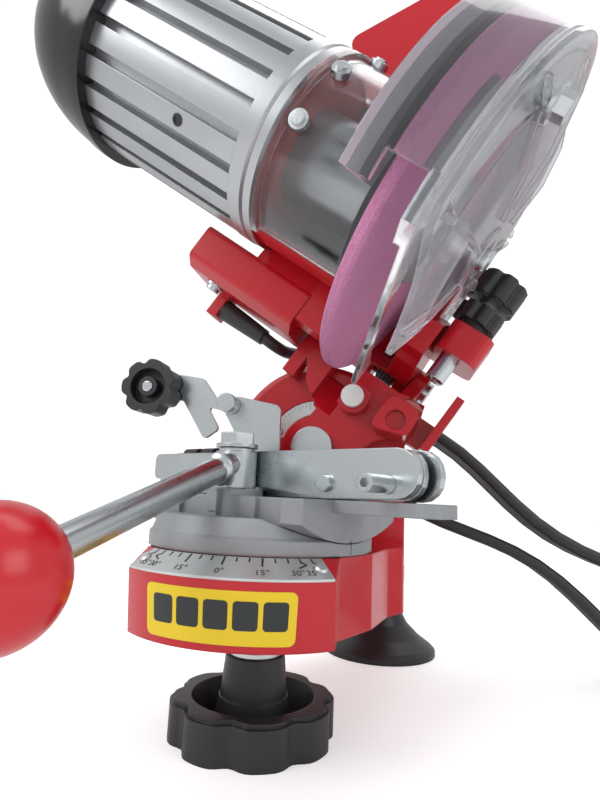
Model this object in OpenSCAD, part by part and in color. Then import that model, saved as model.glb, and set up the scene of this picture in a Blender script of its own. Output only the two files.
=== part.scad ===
// Electric chain sharpener for a bench. Millimetres, +Z up.
// The vise turns about the Z axis, and z = 0 is the level of the lowest knob and the rear foot.

/* [Base casting] */
// Height of the angle scale's top edge
plate_top = 70; // [66:1:90]
// Radius of the angle scale's top edge
plate_r = 46; // [44:0.5:52]
// Width of the angle scale, seen from above
scale_w = 8.6; // [7:0.2:10]
// Drop of the angle scale over its width
plate_drop = 5.4; // [4:0.2:8]
// Depth of the base's skirt below the scale's top edge
skirt_depth = 27.6; // [24:0.2:34]
// Wall of the base casting
base_wall = 5; // [3.5:0.5:7]
// Half width of the base's front
front_half_w = 36; // [32:1:40]
// Y of the column's front face
column_front_y = 58; // [56:1:64]
// Depth of the column
column_depth = 28; // [22:1:34]
// Right edge of the column
column_right_x = 57; // [52:1:60]
// Width of the column at its waist
column_w = 66; // [56:1:76]
// Y of the rear foot's centre
foot_y = 135; // [125:1:145]
// X of the rear foot's centre
foot_x = 43; // [38:1:46]
// Radius of the rear foot
foot_r = 33; // [26:1:36]
// Spacing of the two bench bolt holes
bench_hole_gap = 50; // [40:1:52]
// Radius of a bench bolt hole
bench_hole_r = 4.5; // [3.5:0.25:5.5]

/* [Vise] */
// Radius of the turntable
table_r = 44.2; // [42:0.2:45]
// Height of the turntable
table_h = 12; // [11:0.5:14]
// Radius of the cylindrical saddle that the vise tilts in
saddle_r = 60; // [50:1:80]
// Left end of the jaws, along the rail
jaw_left = 66; // [56:1:74]
// Right end of the jaws, along the rail
jaw_right = 75; // [66:1:84]
// Height of the jaws' top edge above the scale's top edge
jaw_top = 37; // [34:0.5:42]
// Height of the jaws' bottom edge above the scale's top edge
jaw_bottom = 19.5; // [18:0.5:22]
// Thickness of a jaw plate
jaw_t = 3; // [2:0.25:4]
// Gap for the chain between the jaws
jaw_gap = 3; // [2.2:0.1:4]
// Radius of the lever's hub
hub_r = 8; // [7:0.25:10]
// Height of the lever's hub
hub_h = 14; // [11:0.5:16]
// Radius of the lever's rod
lever_rod_r = 4.7; // [4:0.1:6]
// Radius of the ball on the lever
ball_r = 16.5; // [14:0.5:20]
// Radius of a jaw guide pin
guide_pin_r = 3; // [2.5:0.1:3.5]

/* [Clamp knob] */
// Radius of the clamp knob over its lobes
clamp_r = 31.5; // [28:0.5:34]
// Height of the clamp knob's rim
clamp_h = 14.5; // [12:0.5:18]
// Radius of the clamp stud
stud_r = 5; // [4:0.5:6]
// Running clearance round a shaft or stud
run_gap = 0.06; // [0.03:0.01:0.1]

/* [Head] */
// Height of the chain above the scale's top edge
chain_rise = 44; // [43:0.5:50]
// X of the tilt axis
tilt_x = 12; // [8:0.5:16]
// Radius of the column's round head
disc_r = 45; // [42:0.5:48]
// Y of the swing pivot
pivot_y = 75; // [72:0.5:80]
// Height of the swing pivot above the chain, square to the motor
pivot_v = 66; // [64:0.5:70]
// Radius of the swing pivot shaft
pivot_r = 5; // [4:0.5:6]
// Radius of the head's barrel round the pivot shaft
barrel_r = 9.5; // [8:0.5:10.5]
// Y of the wheel's centre
wheel_y = 2.5; // [0:0.5:5]
// Height of the wheel's centre above the chain, square to the motor
wheel_v = 113; // [110:0.5:118]
// Thickness of a pivot ear
ear_t = 7; // [5:0.5:9]

/* [Motor] */
// Radius of the motor's front ring
ring_r = 46; // [44:0.5:48]
// Distance from the wheel to the front ring's face
ring_n = 65; // [60:1:72]
// Width of the front ring
ring_w = 8; // [6:0.5:10]
// Length of the finned housing
fin_len = 87; // [70:1:100]
// Number of flat fins
fin_count = 22; // [18:1:30]
// Width of the grooves between the fins
groove_w = 4; // [2:0.2:5]
// Height of the fins
fin_h = 4.5; // [3:0.5:6]
// Radius of the end cap's rim
cap_r = 50; // [48:0.5:52]
// Length of the end cap
cap_len = 55; // [40:1:65]
// Radius of the motor shaft
shaft_r = 6; // [5:0.5:8]

/* [Wheel and guards] */
// Radius of the grinding wheel
wheel_r = 72.5; // [65:0.5:75]
// Thickness of the grinding wheel
wheel_t = 4.7; // [3.2:0.1:6]
// Radius of the wheel's bore
wheel_bore_r = 11.1; // [10:0.1:12.7]
// Space between the wheel and its guards
guard_gap = 5.5; // [4:0.5:9]
// Wall of the clear guards
clear_t = 2.5; // [2:0.25:3]
// Reach of the guards towards the motor
guard_in = 14; // [12:0.5:16]
// Reach of the guards away from the motor
guard_out = 17; // [14:0.5:20]

/* [Chain stop] */
// Radius of the stop's knobs
stop_knob_r = 13; // [11:0.5:15]

/* [Hidden] */
$fn = 64;

plate_low_r = plate_r + scale_w;
guard_r = wheel_r + guard_gap;

// The pose in which the model stands: the vise is turned and the head leans by these angles.
turn_set = 30;
tilt_set = 35;
swing = 29;
// The wheel's centre when the head is down
down_y = pivot_y + (wheel_y - pivot_y) * cos(swing) - (wheel_v - pivot_v) * sin(swing);
down_v = pivot_v + (wheel_y - pivot_y) * sin(swing) + (wheel_v - pivot_v) * cos(swing);
gap = 0.3;
fit_gap = 0.05;
eps = 0.01;
chain_z = plate_top + chain_rise;
// The tilt axis as the leaning head sees it
tilt_n = tilt_x * cos(tilt_set);
tilt_v = tilt_x * sin(tilt_set);
column_back_y = column_front_y + column_depth;
column_left_x = column_right_x - column_w;
column_mid_x = (column_left_x + column_right_x) / 2;
skirt_z = plate_top - skirt_depth;
skirt_r = plate_low_r - 2.3;
base_top_z = plate_top - gap;
deck_z = base_top_z - 8;
plate_t = 0.8;
fan_half = asin(front_half_w / plate_low_r);
tail_t = 8;
bench_hole_y = column_back_y + 11;
foot_top_z = 22;

function unit(v) = v / norm(v);
function xy(p) = [p[0], p[1]];
// The points of one rounded corner: b is [x, y, radius] and a and c are its neighbours.
function corner(a, b, c, steps) = b[2] == 0 ? [xy(b)] : let (
  u = unit(xy(a) - xy(b)), w = unit(xy(c) - xy(b)), half = acos(u * w) / 2,
  m = xy(b) + unit(u + w) * b[2] / sin(half), p = xy(b) + u * b[2] / tan(half) - m,
  q = xy(b) + w * b[2] / tan(half) - m, full = 180 - 2 * half)
  [for (k = [0:steps]) m + (p * sin(full * (1 - k / steps)) + q * sin(full * k / steps)) / sin(full)];
function rounded(p, steps = 4) = [for (i = [0:len(p) - 1])
  each corner(p[(i + len(p) - 1) % len(p)], p[i], p[(i + 1) % len(p)], steps)];

// The vise's own frame: X runs along the rail and Y across it.
module in_vise() { rotate([0, 0, -turn_set]) children(); }
// The leaning head's frame: X runs along the motor shaft, and the wheel meets the chain at the origin.
module in_head() { translate([0, 0, chain_z]) rotate([0, tilt_set, 0]) children(); }
module rod_x(x0, x1, y, z, r) { translate([x0, y, z]) rotate([0, 90, 0]) cylinder(h = x1 - x0, r = r); }
module rod_y(y0, y1, x, z, r) { translate([x, y0, z]) rotate([-90, 0, 0]) cylinder(h = y1 - y0, r = r); }
module rod_z(z0, z1, x, y, r) { translate([x, y, z0]) cylinder(h = z1 - z0, r = r); }
// Plates drawn in the YZ, XZ and XY planes
module slab_x(x0, x1) { translate([x0, 0, 0]) rotate([90, 0, 90]) linear_extrude(x1 - x0) children(); }
module slab_y(y0, y1) { translate([0, y1, 0]) rotate([90, 0, 0]) linear_extrude(y1 - y0) children(); }
module slab_z(z0, z1) { translate([0, 0, z0]) linear_extrude(z1 - z0) children(); }
// A revolve about the motor shaft of [radius, place along the shaft]; angle 0 is the front, 90 the top.
module about_shaft(a0 = 0, a1 = 360) {
  translate([0, wheel_y, wheel_v]) rotate([90, 0, -90]) rotate([0, 0, a0])
    rotate_extrude(angle = a1 - a0) mirror([0, 1]) children();
}
module ring(r0, r1, n0, n1) { translate([r0, n0]) square([r1 - r0, n1 - n0]); }
// A ring about the tilt axis, in the head's frame
module about_tilt(a0, a1, r0, r1, y0, y1) {
  translate([tilt_n, y1, tilt_v]) rotate([90, 0, 0]) rotate([0, 0, 90 + a0])
    rotate_extrude(angle = a1 - a0) ring(r0, r1, 0, y1 - y0);
}
// A knob's outline with soft lobes
module lobes(r, count, depth) {
  polygon([for (i = [0:count * 12 - 1]) let (a = i * 30 / count, k = r - depth * pow((1 + cos(a * count)) / 2, 3))
    [k * cos(a), k * sin(a)]]);
}
module hex(r, h) { cylinder(h = h, r = r, $fn = 6); }

// --- Base ---
module fan_outline(r) {
  intersection() {
    circle(r);
    polygon([[-front_half_w, -plate_low_r - 1], [front_half_w, -plate_low_r - 1], [front_half_w - 1, -27],
      [45, -6], [50, 18], [column_right_x, 30], [column_right_x, column_front_y], [-34, column_front_y],
      [-48, 18], [-45, -6], [1 - front_half_w, -27]]);
  }
}
module base_outline() {
  union() {
    fan_outline(plate_low_r);
    polygon(rounded([[45, -6, 0], [50, 18, 8], [column_right_x, 30, 8], [column_right_x, column_back_y, 0],
      [column_left_x, column_back_y, 0], [column_left_x, column_front_y + 6, 4], [-34, 50, 14],
      [-48, 18, 8], [-45, -6, 0]]));
  }
}
module column_outline(inset = 0) {
  union() {
    translate([tilt_x, chain_z]) circle(disc_r - inset);
    translate([column_left_x + inset, skirt_z]) square([column_w - 2 * inset, chain_z - skirt_z]);
  }
}
module base_casting() {
  color("firebrick") difference() {
    union() {
      // The body is cut to a cone under the angle scale.
      intersection() {
        slab_z(skirt_z, base_top_z) base_outline();
        union() {
          rotate([0, 0, -90 - fan_half - 20]) rotate_extrude(angle = 2 * fan_half + 40)
            polygon([[0, skirt_z], [skirt_r, skirt_z], [plate_low_r, plate_top - plate_drop - plate_t],
              [plate_r, plate_top - plate_t], [plate_r - 0.4, base_top_z], [0, base_top_z]]);
          slab_z(skirt_z, base_top_z) polygon([[-70, 90], [-70, -48], [0, 0], [70, -48], [70, 90]]);
        }
      }
      slab_y(column_front_y, column_back_y) column_outline();
      // The tail carries the bench holes and the rear foot.
      slab_z(skirt_z, skirt_z + tail_t) polygon(rounded([[column_left_x, column_back_y - 8, 0],
        [column_right_x, column_back_y - 8, 0], [column_right_x, bench_hole_y + 9, 7],
        [foot_x + 15, foot_y, 8], [foot_x + 13, foot_y + 15, 9], [foot_x - 13, foot_y + 15, 9],
        [foot_x - 17, foot_y, 8], [column_left_x, bench_hole_y + 9, 7]]));
    }
    // Hollow under the deck
    slab_z(skirt_z - 1, deck_z) intersection() {
      circle(skirt_r - base_wall);
      translate([-front_half_w + base_wall, -60]) square([2 * (front_half_w - base_wall), 92]);
    }
    slab_z(skirt_z - 1, deck_z) polygon([[column_left_x + base_wall, 10], [48 - base_wall, 10],
      [50 - base_wall, 18], [column_right_x - base_wall, 32], [column_right_x - base_wall, column_front_y - 6],
      [column_left_x + base_wall, column_front_y - 6]]);
    // The column is a shell, open at the back.
    slab_y(column_front_y + 6, column_back_y + 1) difference() {
      column_outline(base_wall);
      translate([-70, skirt_z - 1]) square([140, tail_t + 1]);
    }
    // Behind the head's part of the column there is room for the lock knob.
    slab_y(column_front_y + 12, column_back_y + 1) translate([tilt_x - 80, chain_z - 10]) square([160, 90]);
    // The rim's front edge is chamfered, so that the wheel clears it when it is down.
    translate([tilt_x, column_front_y - 1, chain_z]) rotate([-90, 0, 0]) difference() {
      cylinder(h = 4, r = disc_r + 20);
      translate([0, 0, -eps]) cylinder(h = 4 + 2 * eps, r1 = disc_r - 4, r2 = disc_r);
      translate([-100, -25, -1]) cube([200, 200, 6]);
    }
    in_head() {
      // Arc slot for the tilt lock's bolt
      about_tilt(-lock_a - 9, -lock_a + tilt_set + 9, lock_r - lock_bolt_r - 0.4, lock_r + lock_bolt_r + 0.4,
        column_front_y - 1, column_front_y + 7);
      about_tilt(scale_a1, scale_a0, scale_in_r - gap, scale_out_r + gap, column_front_y - 1,
        column_front_y + tilt_plate_t);
    }
    rod_y(column_front_y - 1, column_front_y + 30, tilt_x, chain_z, tilt_bolt_r + fit_gap);
    rod_z(skirt_z - 1, plate_top + 1, 0, 0, stud_r + 0.4);
    for (s = [-1, 1])
      rod_z(skirt_z - 1, skirt_z + tail_t + 1, column_mid_x + s * bench_hole_gap / 2, bench_hole_y, bench_hole_r);
    rod_z(skirt_z - 1, skirt_z + tail_t + 1, foot_x, foot_y, foot_bolt_r);
    for (s = [-1, 1])
      rivet_place(s) translate([0, 0, -4]) cylinder(h = 8, r = rivet_r);
    tilt_rivet_place() cylinder(h = 8, r = rivet_r, center = true);
  }
}
rivet_r = 1.5;
module rivet_place(s) {
  rotate([0, 0, -90 + s * (fan_half - 4)])
    translate([(plate_r + plate_low_r) / 2, 0, plate_top - plate_drop / 2])
    rotate([0, atan(plate_drop / (plate_low_r - plate_r)), 0])
    children();
}
module vise_scale_plate() {
  color("gainsboro") difference() {
    rotate([0, 0, -90 - fan_half + 1]) rotate_extrude(angle = 2 * fan_half - 2)
      polygon([[plate_low_r, plate_top - plate_drop - plate_t], [plate_low_r, plate_top - plate_drop],
        [plate_r, plate_top], [plate_r, plate_top - plate_t]]);
    for (s = [-1, 1])
      rivet_place(s) translate([0, 0, -4]) cylinder(h = 8, r = rivet_r);
  }
}
module scale_rivets() {
  color("silver") for (s = [-1, 1])
    rivet_place(s) {
      translate([0, 0, -4]) cylinder(h = 4.2, r = rivet_r);
      translate([0, 0, 0.1]) cylinder(h = 0.8, r1 = 2.4, r2 = 1.6);
    }
}
// Angles here run from the head's own upright, positive to the left.
scale_a0 = 72 + tilt_set;
scale_a1 = 5;
scale_in_r = 18.5;
scale_out_r = 25.5;
tilt_plate_t = 0.8;
module tilt_rivet_place() {
  in_head() translate([tilt_n, column_front_y, tilt_v]) rotate([0, -(scale_a0 - 6), 0])
    translate([0, 0, (scale_in_r + scale_out_r) / 2]) rotate([90, 0, 0]) children();
}
module tilt_scale_plate() {
  color("gainsboro") difference() {
    in_head() about_tilt(scale_a1, scale_a0, scale_in_r, scale_out_r, column_front_y, column_front_y + tilt_plate_t);
    tilt_rivet_place() cylinder(h = 8, r = rivet_r, center = true);
  }
}
module tilt_scale_rivets() {
  color("silver") tilt_rivet_place() {
    translate([0, 0, -4]) cylinder(h = 4.1, r = rivet_r);
    cylinder(h = 0.7, r1 = 2.3, r2 = 1.5);
  }
}
foot_bolt_r = 4;
module rear_foot() {
  color("dimgray") translate([foot_x, foot_y, 0]) difference() {
    rotate_extrude() polygon([[0, 0], [foot_r, 0], [foot_r, 3], [foot_r - 2, 5], [foot_r * 0.72, 10],
      [foot_r * 0.5, 17], [foot_r * 0.42, foot_top_z], [12, foot_top_z + 3], [12, skirt_z], [0, skirt_z]]);
    translate([0, 0, 6]) cylinder(h = 60, r = foot_bolt_r);
  }
}
module foot_bolt() {
  color("silver") translate([foot_x, foot_y, 0]) {
    translate([0, 0, 6]) cylinder(h = skirt_z + tail_t - 6, r = foot_bolt_r - fit_gap);
    translate([0, 0, skirt_z + tail_t]) cylinder(h = 1.4, r = 8.5);
    translate([0, 0, skirt_z + tail_t + 1.4]) hex(7.5, 6);
  }
}
// --- Clamp under the base ---
bush_r = 7.5;
knob_top_z = 29;
washer_top_z = 31;
stud_head_h = 3;
module clamp_bush() {
  color("dimgray") difference() {
    union() {
      rod_z(washer_top_z, deck_z, 0, 0, bush_r);
      rod_z(deck_z - 12, deck_z, 0, 0, bush_r + 3);
    }
    rod_z(0, plate_top, 0, 0, stud_r + run_gap);
  }
}
module clamp_washer() {
  color("silver") difference() {
    rod_z(knob_top_z + 0.1, washer_top_z, 0, 0, 10.4);
    rod_z(0, plate_top, 0, 0, stud_r + run_gap);
  }
}
module clamp_knob() {
  color([0.13, 0.13, 0.14]) difference() {
    union() {
      slab_z(0, clamp_h - 1.5) lobes(clamp_r, 8, 3);
      slab_z(0, clamp_h) lobes(clamp_r - 1.5, 8, 3);
      translate([0, 0, 4]) cylinder(h = knob_top_z - 4, r1 = 14, r2 = 11.5);
    }
    // The top is dished round the collar.
    translate([0, 0, 4]) rotate_extrude() polygon([[15, 0], [20, 0], [clamp_r - 6.5, clamp_h], [12.7, clamp_h]]);
    rod_z(3, plate_top, 0, 0, stud_r + run_gap);
  }
}
module clamp_stud() {
  color("silver") {
    rod_z(5, table_seat_z, 0, 0, stud_r);
    rod_z(table_seat_z - stud_head_h, table_seat_z, 0, 0, 9);
  }
}
// --- Turntable and vise ---
saddle_bottom = 4;
table_seat_z = plate_top + saddle_bottom;
saddle_z = table_seat_z + saddle_r;
module turntable() {
  color("darkgray") difference() {
    translate([0, 0, plate_top]) rotate_extrude()
      polygon([[0, 0], [table_r, 0], [table_r, 5], [table_r - 1, 6], [table_r - 3.2, table_h], [0, table_h]]);
    in_vise() rod_x(-60, 60, 0, saddle_z, saddle_r);
    // Sloped flats for the index lines, on the left and right
    in_vise() for (s = [-1, 1])
      translate([s * 49, 0, plate_top + 15]) rotate([0, s * 35, 0]) cube([24, 26, 12], center = true);
    rod_z(plate_top - 1, plate_top + 30, 0, 0, stud_r + fit_gap);
    rod_z(table_seat_z - stud_head_h, plate_top + 30, 0, 0, 9 + fit_gap);
  }
}
block_top_z = plate_top + jaw_bottom - gap;
block_half = 44;
lever_m = -16.4;
lever_bolt_r = 4;
adj_z = plate_top + 30;
adj_m = 18;
adj_r = 3;
rail_h = 4.5;
module vise_block() {
  color("darkgray") in_vise() difference() {
    union() {
      intersection() {
        translate([-block_half, -27, plate_top]) cube([2 * block_half, 56, jaw_bottom - gap]);
        rod_x(-60, 60, 0, saddle_z, saddle_r - gap);
      }
      // Wings under the jaws
      slab_z(block_top_z - rail_h, block_top_z) polygon(rounded([[-jaw_left, -10, 5], [jaw_right + 7, -10, 7],
        [jaw_right + 7, 9, 6], [-jaw_left, 9, 5]]));
      // Rib behind the fixed jaw
      translate([-block_half, jaw_gap / 2 + jaw_t, block_top_z - 1]) cube([2 * block_half, 4, 9]);
      // Boss under the lever
      rod_z(block_top_z - 6, plate_top + 22 - gap, 0, lever_m, hub_r + 3);
      // Bearing blocks of the stop's screw
      for (d = [-40, -4])
        translate([d - 3, adj_m - 6, block_top_z - 1]) cube([6, 12, adj_z + 6 - block_top_z + 1]);
    }
    rod_z(plate_top, plate_top + 40, 0, lever_m, lever_bolt_r);
    rod_x(-60, 20, adj_m, adj_z, adj_r + run_gap);
    for (d = pin_places)
      translate([d, 0, 0]) rod_y(jaw_gap / 2 + jaw_t - eps, 30, 0, plate_top + 25, guide_pin_r);
    // Ribs at the front are left by two cuts.
    for (d = [-34, -14, 8, 28])
      translate([d - 6, -30, plate_top + 9]) cube([12, 5, 20]);
  }
}
pin_places = [-38, 38];
pin_front = 22;
module jaw_plate(left, right, top) {
  polygon(rounded([[-left, plate_top + jaw_bottom, 3], [right, plate_top + jaw_bottom, 8],
    [right, plate_top + top, 8], [-left, plate_top + top, 3]]));
}
module jaw_holes(r) {
  for (d = pin_places)
    rod_y(-30, 30, d, plate_top + 25, r);
  // The chain's links hang between the plates through this window.
  rod_y(-30, 30, 63.7, plate_top + 25, r);
}
module fixed_jaw() {
  color("silver") in_vise() difference() {
    slab_y(jaw_gap / 2, jaw_gap / 2 + jaw_t) jaw_plate(58, jaw_right + 3, jaw_top);
    jaw_holes(guide_pin_r);
  }
}
module moving_jaw() {
  color("silver") in_vise() difference() {
    union() {
      slab_y(-jaw_gap / 2 - jaw_t, -jaw_gap / 2) jaw_plate(jaw_left, jaw_right, jaw_top);
      slab_y(-jaw_gap / 2 - 2 * jaw_t - 0.5, -jaw_gap / 2 - jaw_t - 0.5)
        polygon(rounded([[9, plate_top + jaw_bottom + 3, 3], [37, plate_top + jaw_bottom, 5],
          [jaw_right, plate_top + jaw_bottom + 1, 8], [jaw_right, plate_top + jaw_top, 8],
          [-jaw_left, plate_top + jaw_top, 3], [-jaw_left, plate_top + jaw_bottom + 6, 3]]));
      // The two plates are joined by a strip.
      translate([-50, -jaw_gap / 2 - jaw_t - 1, plate_top + jaw_bottom + 7]) cube([110, 1.5, 6]);
    }
    jaw_holes(guide_pin_r + run_gap);
  }
}
module jaw_guide_pins() {
  color("silver") in_vise() {
    for (d = pin_places)
      rod_y(-jaw_gap / 2 - 2 * jaw_t - 2.5, 13, d, plate_top + 25, guide_pin_r);
    difference() {
      rod_y(-pin_front, jaw_gap / 2 + jaw_t + 3, 63.7, plate_top + 25, guide_pin_r);
      translate([63.7, -pin_front - 1, plate_top + 25]) rotate([-90, 0, 0]) hex(1.6, 4);
    }
    rod_y(jaw_gap / 2 + jaw_t, jaw_gap / 2 + jaw_t + 3, 63.7, plate_top + 25, guide_pin_r + 2);
  }
}
// --- Lever ---
hub_low_z = plate_top + 22;
lever_start = [-9, -20, plate_top + 31];
ball_place = [-31, -112, plate_top];
lever_way = unit(ball_place - lever_start);
lever_len = norm(ball_place - lever_start);
module on_lever() {
  translate(lever_start) rotate([0, acos(lever_way[2]), atan2(lever_way[1], lever_way[0])]) children();
}
module clamp_lever() {
  color("silver") difference() {
    union() {
      in_vise() {
        rod_z(hub_low_z, hub_low_z + hub_h, 0, lever_m, hub_r);
        rod_z(hub_low_z + hub_h, hub_low_z + hub_h + 1.2, 0, lever_m, hub_r - 1);
      }
      on_lever() cylinder(h = lever_len - ball_r + 8, r = lever_rod_r);
    }
    in_vise() rod_z(0, 200, 0, lever_m, lever_bolt_r + run_gap);
  }
}
module lever_ball() {
  color("crimson") difference() {
    translate(ball_place) sphere(ball_r, $fn = 96);
    on_lever() cylinder(h = lever_len - ball_r + 8, r = lever_rod_r);
  }
}
module lever_bolt() {
  color("silver") in_vise() {
    rod_z(plate_top + 10, hub_low_z + hub_h + 2, 0, lever_m, lever_bolt_r);
    translate([0, lever_m, hub_low_z + hub_h + 1.5]) cylinder(h = 1.5, r = 8.2);
    translate([0, lever_m, hub_low_z + hub_h + 3]) rotate([0, 0, 12]) hex(7.2, 4.4);
  }
}
// --- Chain stop ---
adj_left = -74;
module adjust_screw() {
  color([0.13, 0.13, 0.14]) in_vise() difference() {
    union() {
      rod_x(adj_left, 6, adj_m, adj_z, adj_r);
      translate([adj_left, adj_m, adj_z]) rotate([0, 90, 0]) linear_extrude(10) lobes(stop_knob_r - 1, 7, 1.8);
    }
    rod_x(adj_left - 1, adj_left + 2, adj_m, adj_z, 5);
  }
}
module adjust_lock_knob() {
  color([0.13, 0.13, 0.14]) in_vise() translate([-60, adj_m, adj_z]) rotate([0, 90, 0]) difference() {
    union() {
      linear_extrude(9) lobes(stop_knob_r - 1, 7, 1.8);
      cylinder(h = 16.7, r = 6.5);
    }
    translate([0, 0, -1]) cylinder(h = 30, r = adj_r + run_gap);
  }
}
carriage_d = -22;
stop_y = 20;
hinge_x = -24;
hinge_z = plate_top + 61;
hinge_r = 2.5;
bracket_t = 2.5;
module stop_bracket() {
  color("silver") difference() {
    union() {
      in_vise() {
        translate([carriage_d - 9, adj_m - 6, block_top_z + gap]) cube([18, 12, adj_z + 7 - block_top_z]);
      }
      slab_y(stop_y + 3, stop_y + 3 + bracket_t) polygon(rounded([[-22, adj_z + 2, 0], [-12, adj_z + 2, 0], [0, adj_z + 10, 2],
        [0, hinge_z, 3], [hinge_x + 2, hinge_z + 4.5, 4.5], [hinge_x - 4.5, hinge_z - 1, 4], [-22, hinge_z - 12, 3]]));
    }
    in_vise() rod_x(-90, 60, adj_m, adj_z, adj_r + run_gap);
    rod_y(0, 60, hinge_x, hinge_z, hinge_r);
  }
}
module stop_hinge_pin() {
  color("silver") {
    rod_y(stop_y - 4, stop_y + 3 + bracket_t, hinge_x, hinge_z, hinge_r);
    rod_y(stop_y - 6, stop_y - 4, hinge_x, hinge_z, hinge_r + 1.8);
    rod_y(stop_y + 3 + bracket_t, stop_y + 5 + bracket_t, hinge_x, hinge_z, hinge_r + 1.5);
  }
}
stop_knob_x = -60;
stop_knob_z = plate_top + 67;
module stop_arm() {
  color("silver") difference() {
    union() {
      slab_y(stop_y - 1, stop_y + 1) polygon(rounded([[hinge_x + 4, hinge_z + 5, 4], [-30, plate_top + 63.5, 0],
        [-37, plate_top + 73, 3], [-56, plate_top + 76, 5], [-66, plate_top + 66, 6], [-56, plate_top + 58, 5],
        [-47, plate_top + 63, 2], [-35, plate_top + 44, 2], [-28, plate_top + 49, 2], [-34, plate_top + 59.5, 1],
        [hinge_x + 4, hinge_z - 5, 4]]));
      rod_y(stop_y - 3.6, stop_y + 2.6, hinge_x, hinge_z, hinge_r + 2);
    }
    rod_y(0, 60, hinge_x, hinge_z, hinge_r + run_gap);
    rod_y(0, 60, stop_knob_x, stop_knob_z, 3 + run_gap);
  }
}
module stop_knob() {
  color([0.13, 0.13, 0.14]) difference() {
    union() {
      translate([stop_knob_x, stop_y - 2, stop_knob_z]) rotate([90, 0, 0]) linear_extrude(10) lobes(stop_knob_r, 7, 2);
      rod_y(stop_y - 6, stop_y + 10, stop_knob_x, stop_knob_z, 3);
      rod_y(stop_y + 1 + gap, stop_y + 3, stop_knob_x, stop_knob_z, 4.5);
    }
    // Open dished face with the screw's end in it
    translate([0, stop_y - 12, 0]) rotate([90, 0, 0]) translate([stop_knob_x, stop_knob_z, -5.5]) difference() {
      cylinder(h = 6, r = stop_knob_r - 4.5);
      translate([0, 0, -1]) cylinder(h = 8, r = 4.5);
    }
  }
}
// --- Tilt joint ---
tilt_bolt_r = 6;
lock_bolt_r = 4;
lock_n = 12;
lock_v = 38.5;
lock_r = norm([lock_n - tilt_n, lock_v - tilt_v]);
lock_a = atan2(lock_n - tilt_n, lock_v - tilt_v);
bracket_back = column_front_y - gap;
bracket_front = 47;
module tilt_pivot_bolt() {
  color("silver") {
    rod_y(bracket_front - 2, column_front_y + 12, tilt_x, chain_z, tilt_bolt_r);
    rod_y(bracket_front - 6, bracket_front - gap, tilt_x, chain_z, tilt_bolt_r + 4);
    rod_y(column_front_y + 6, column_front_y + 12, tilt_x, chain_z, 10);
  }
}
ear_left = -28;
ear_right = 28;
// Turned about the swing pivot as the head is when it is down
module when_down() {
  translate([0, pivot_y, pivot_v]) rotate([swing, 0, 0]) translate([0, -pivot_y, -pivot_v]) children();
}
module ear_outline() {
  translate([pivot_y, pivot_v]) circle(barrel_r);
  polygon([[bracket_front, 30], [bracket_back, 30], [60, 50], [pivot_y + 2, pivot_v - barrel_r + 0.2],
    [pivot_y - 3, pivot_v + barrel_r - 0.5], [bracket_front, 50]]);
}
module tilt_bracket() {
  color("firebrick") in_head() difference() {
    union() {
      slab_y(bracket_front, bracket_back) {
        translate([tilt_n, tilt_v]) circle(16);
        polygon([[tilt_n - 12, tilt_v + 4], [-1, 23.4], [-13.8, 32], [-24.8, 47.8], [ear_left, 52], [ear_left + ear_t, 54],
          [-12, 54], [12, 54], [ear_right, 54], [ear_right + ear_t, 56], [41.5, 56.7], [45, 46.2], [31.6, 26],
          [tilt_n + 14, tilt_v]]);
      }
      // Lug with the oval recess that takes the depth screw's end
      slab_y(24, bracket_back) polygon(rounded([[28, 30, 3], [45, 36, 4], [44, 49, 4], [28, 49, 4]]));
      // Thin fin beside it
      slab_x(52, 56) polygon([[30, 36], [bracket_back, 36], [bracket_back, 62], [34, 66]]);
      slab_y(bracket_front, bracket_back) polygon([[40, 36], [56, 36], [56, 50], [40, 50]]);
      for (n = [ear_left, ear_right])
        slab_x(n, n + ear_t) ear_outline();
      rod_y(bracket_front - 8, bracket_back, lock_n, lock_v, 8);
    }
    // Room for the wheel when it is down
    rod_x(-7, 7, down_y, down_v, wheel_r + 2.5);
    translate([-7, bracket_front - 5, 46]) cube([14, 40, 40]);
    translate([tilt_n, column_front_y - gap - eps, tilt_v]) rotate([-90, 0, 0]) cylinder(h = 60, r = disc_r + 0.5);
    about_tilt(-180, 180, scale_in_r - 1.5, scale_out_r + 1.5, column_front_y - 2, column_front_y);
    rod_y(0, 90, tilt_n, tilt_v, tilt_bolt_r + run_gap);
    rod_y(0, 90, lock_n, lock_v, lock_bolt_r);
    rod_x(-60, 60, pivot_y, pivot_v, pivot_r + fit_gap);
    // Oval recess in the lug's front
    slab_y(20, 27) translate([36.5, 39.5]) circle(4.5);
    // Seat that the depth screw's end meets when the head is down
    when_down() rod_z(depth_end_v - gap, 120, depth_n, depth_y, depth_r + 0.5);
  }
}
module slot_bolt() {
  color("white") in_head() {
    rod_y(bracket_front - 11, bracket_front - 8, lock_n, lock_v, 5.5);
    rod_y(bracket_front - 8.5, column_front_y + 26, lock_n, lock_v, lock_bolt_r);
  }
}
module tilt_lock_knob() {
  color([0.13, 0.13, 0.14]) in_head() difference() {
    union() {
      rod_y(column_front_y + 6 + gap, column_front_y + 16, lock_n, lock_v, 7.2);
      translate([lock_n, column_front_y + 30, lock_v]) rotate([90, 0, 0]) linear_extrude(15) lobes(13, 7, 2);
    }
    rod_y(0, column_front_y + 26.2, lock_n, lock_v, lock_bolt_r + run_gap);
  }
}
module pivot_shaft() {
  color("silver") in_head() {
    rod_x(ear_left - 3, ear_right + ear_t + 3, pivot_y, pivot_v, pivot_r);
    rod_x(ear_left - 3, ear_left, pivot_y, pivot_v, pivot_r + 1.5);
    rod_x(ear_right + ear_t, ear_right + ear_t + 3, pivot_y, pivot_v, pivot_r + 1.5);
  }
}
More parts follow.
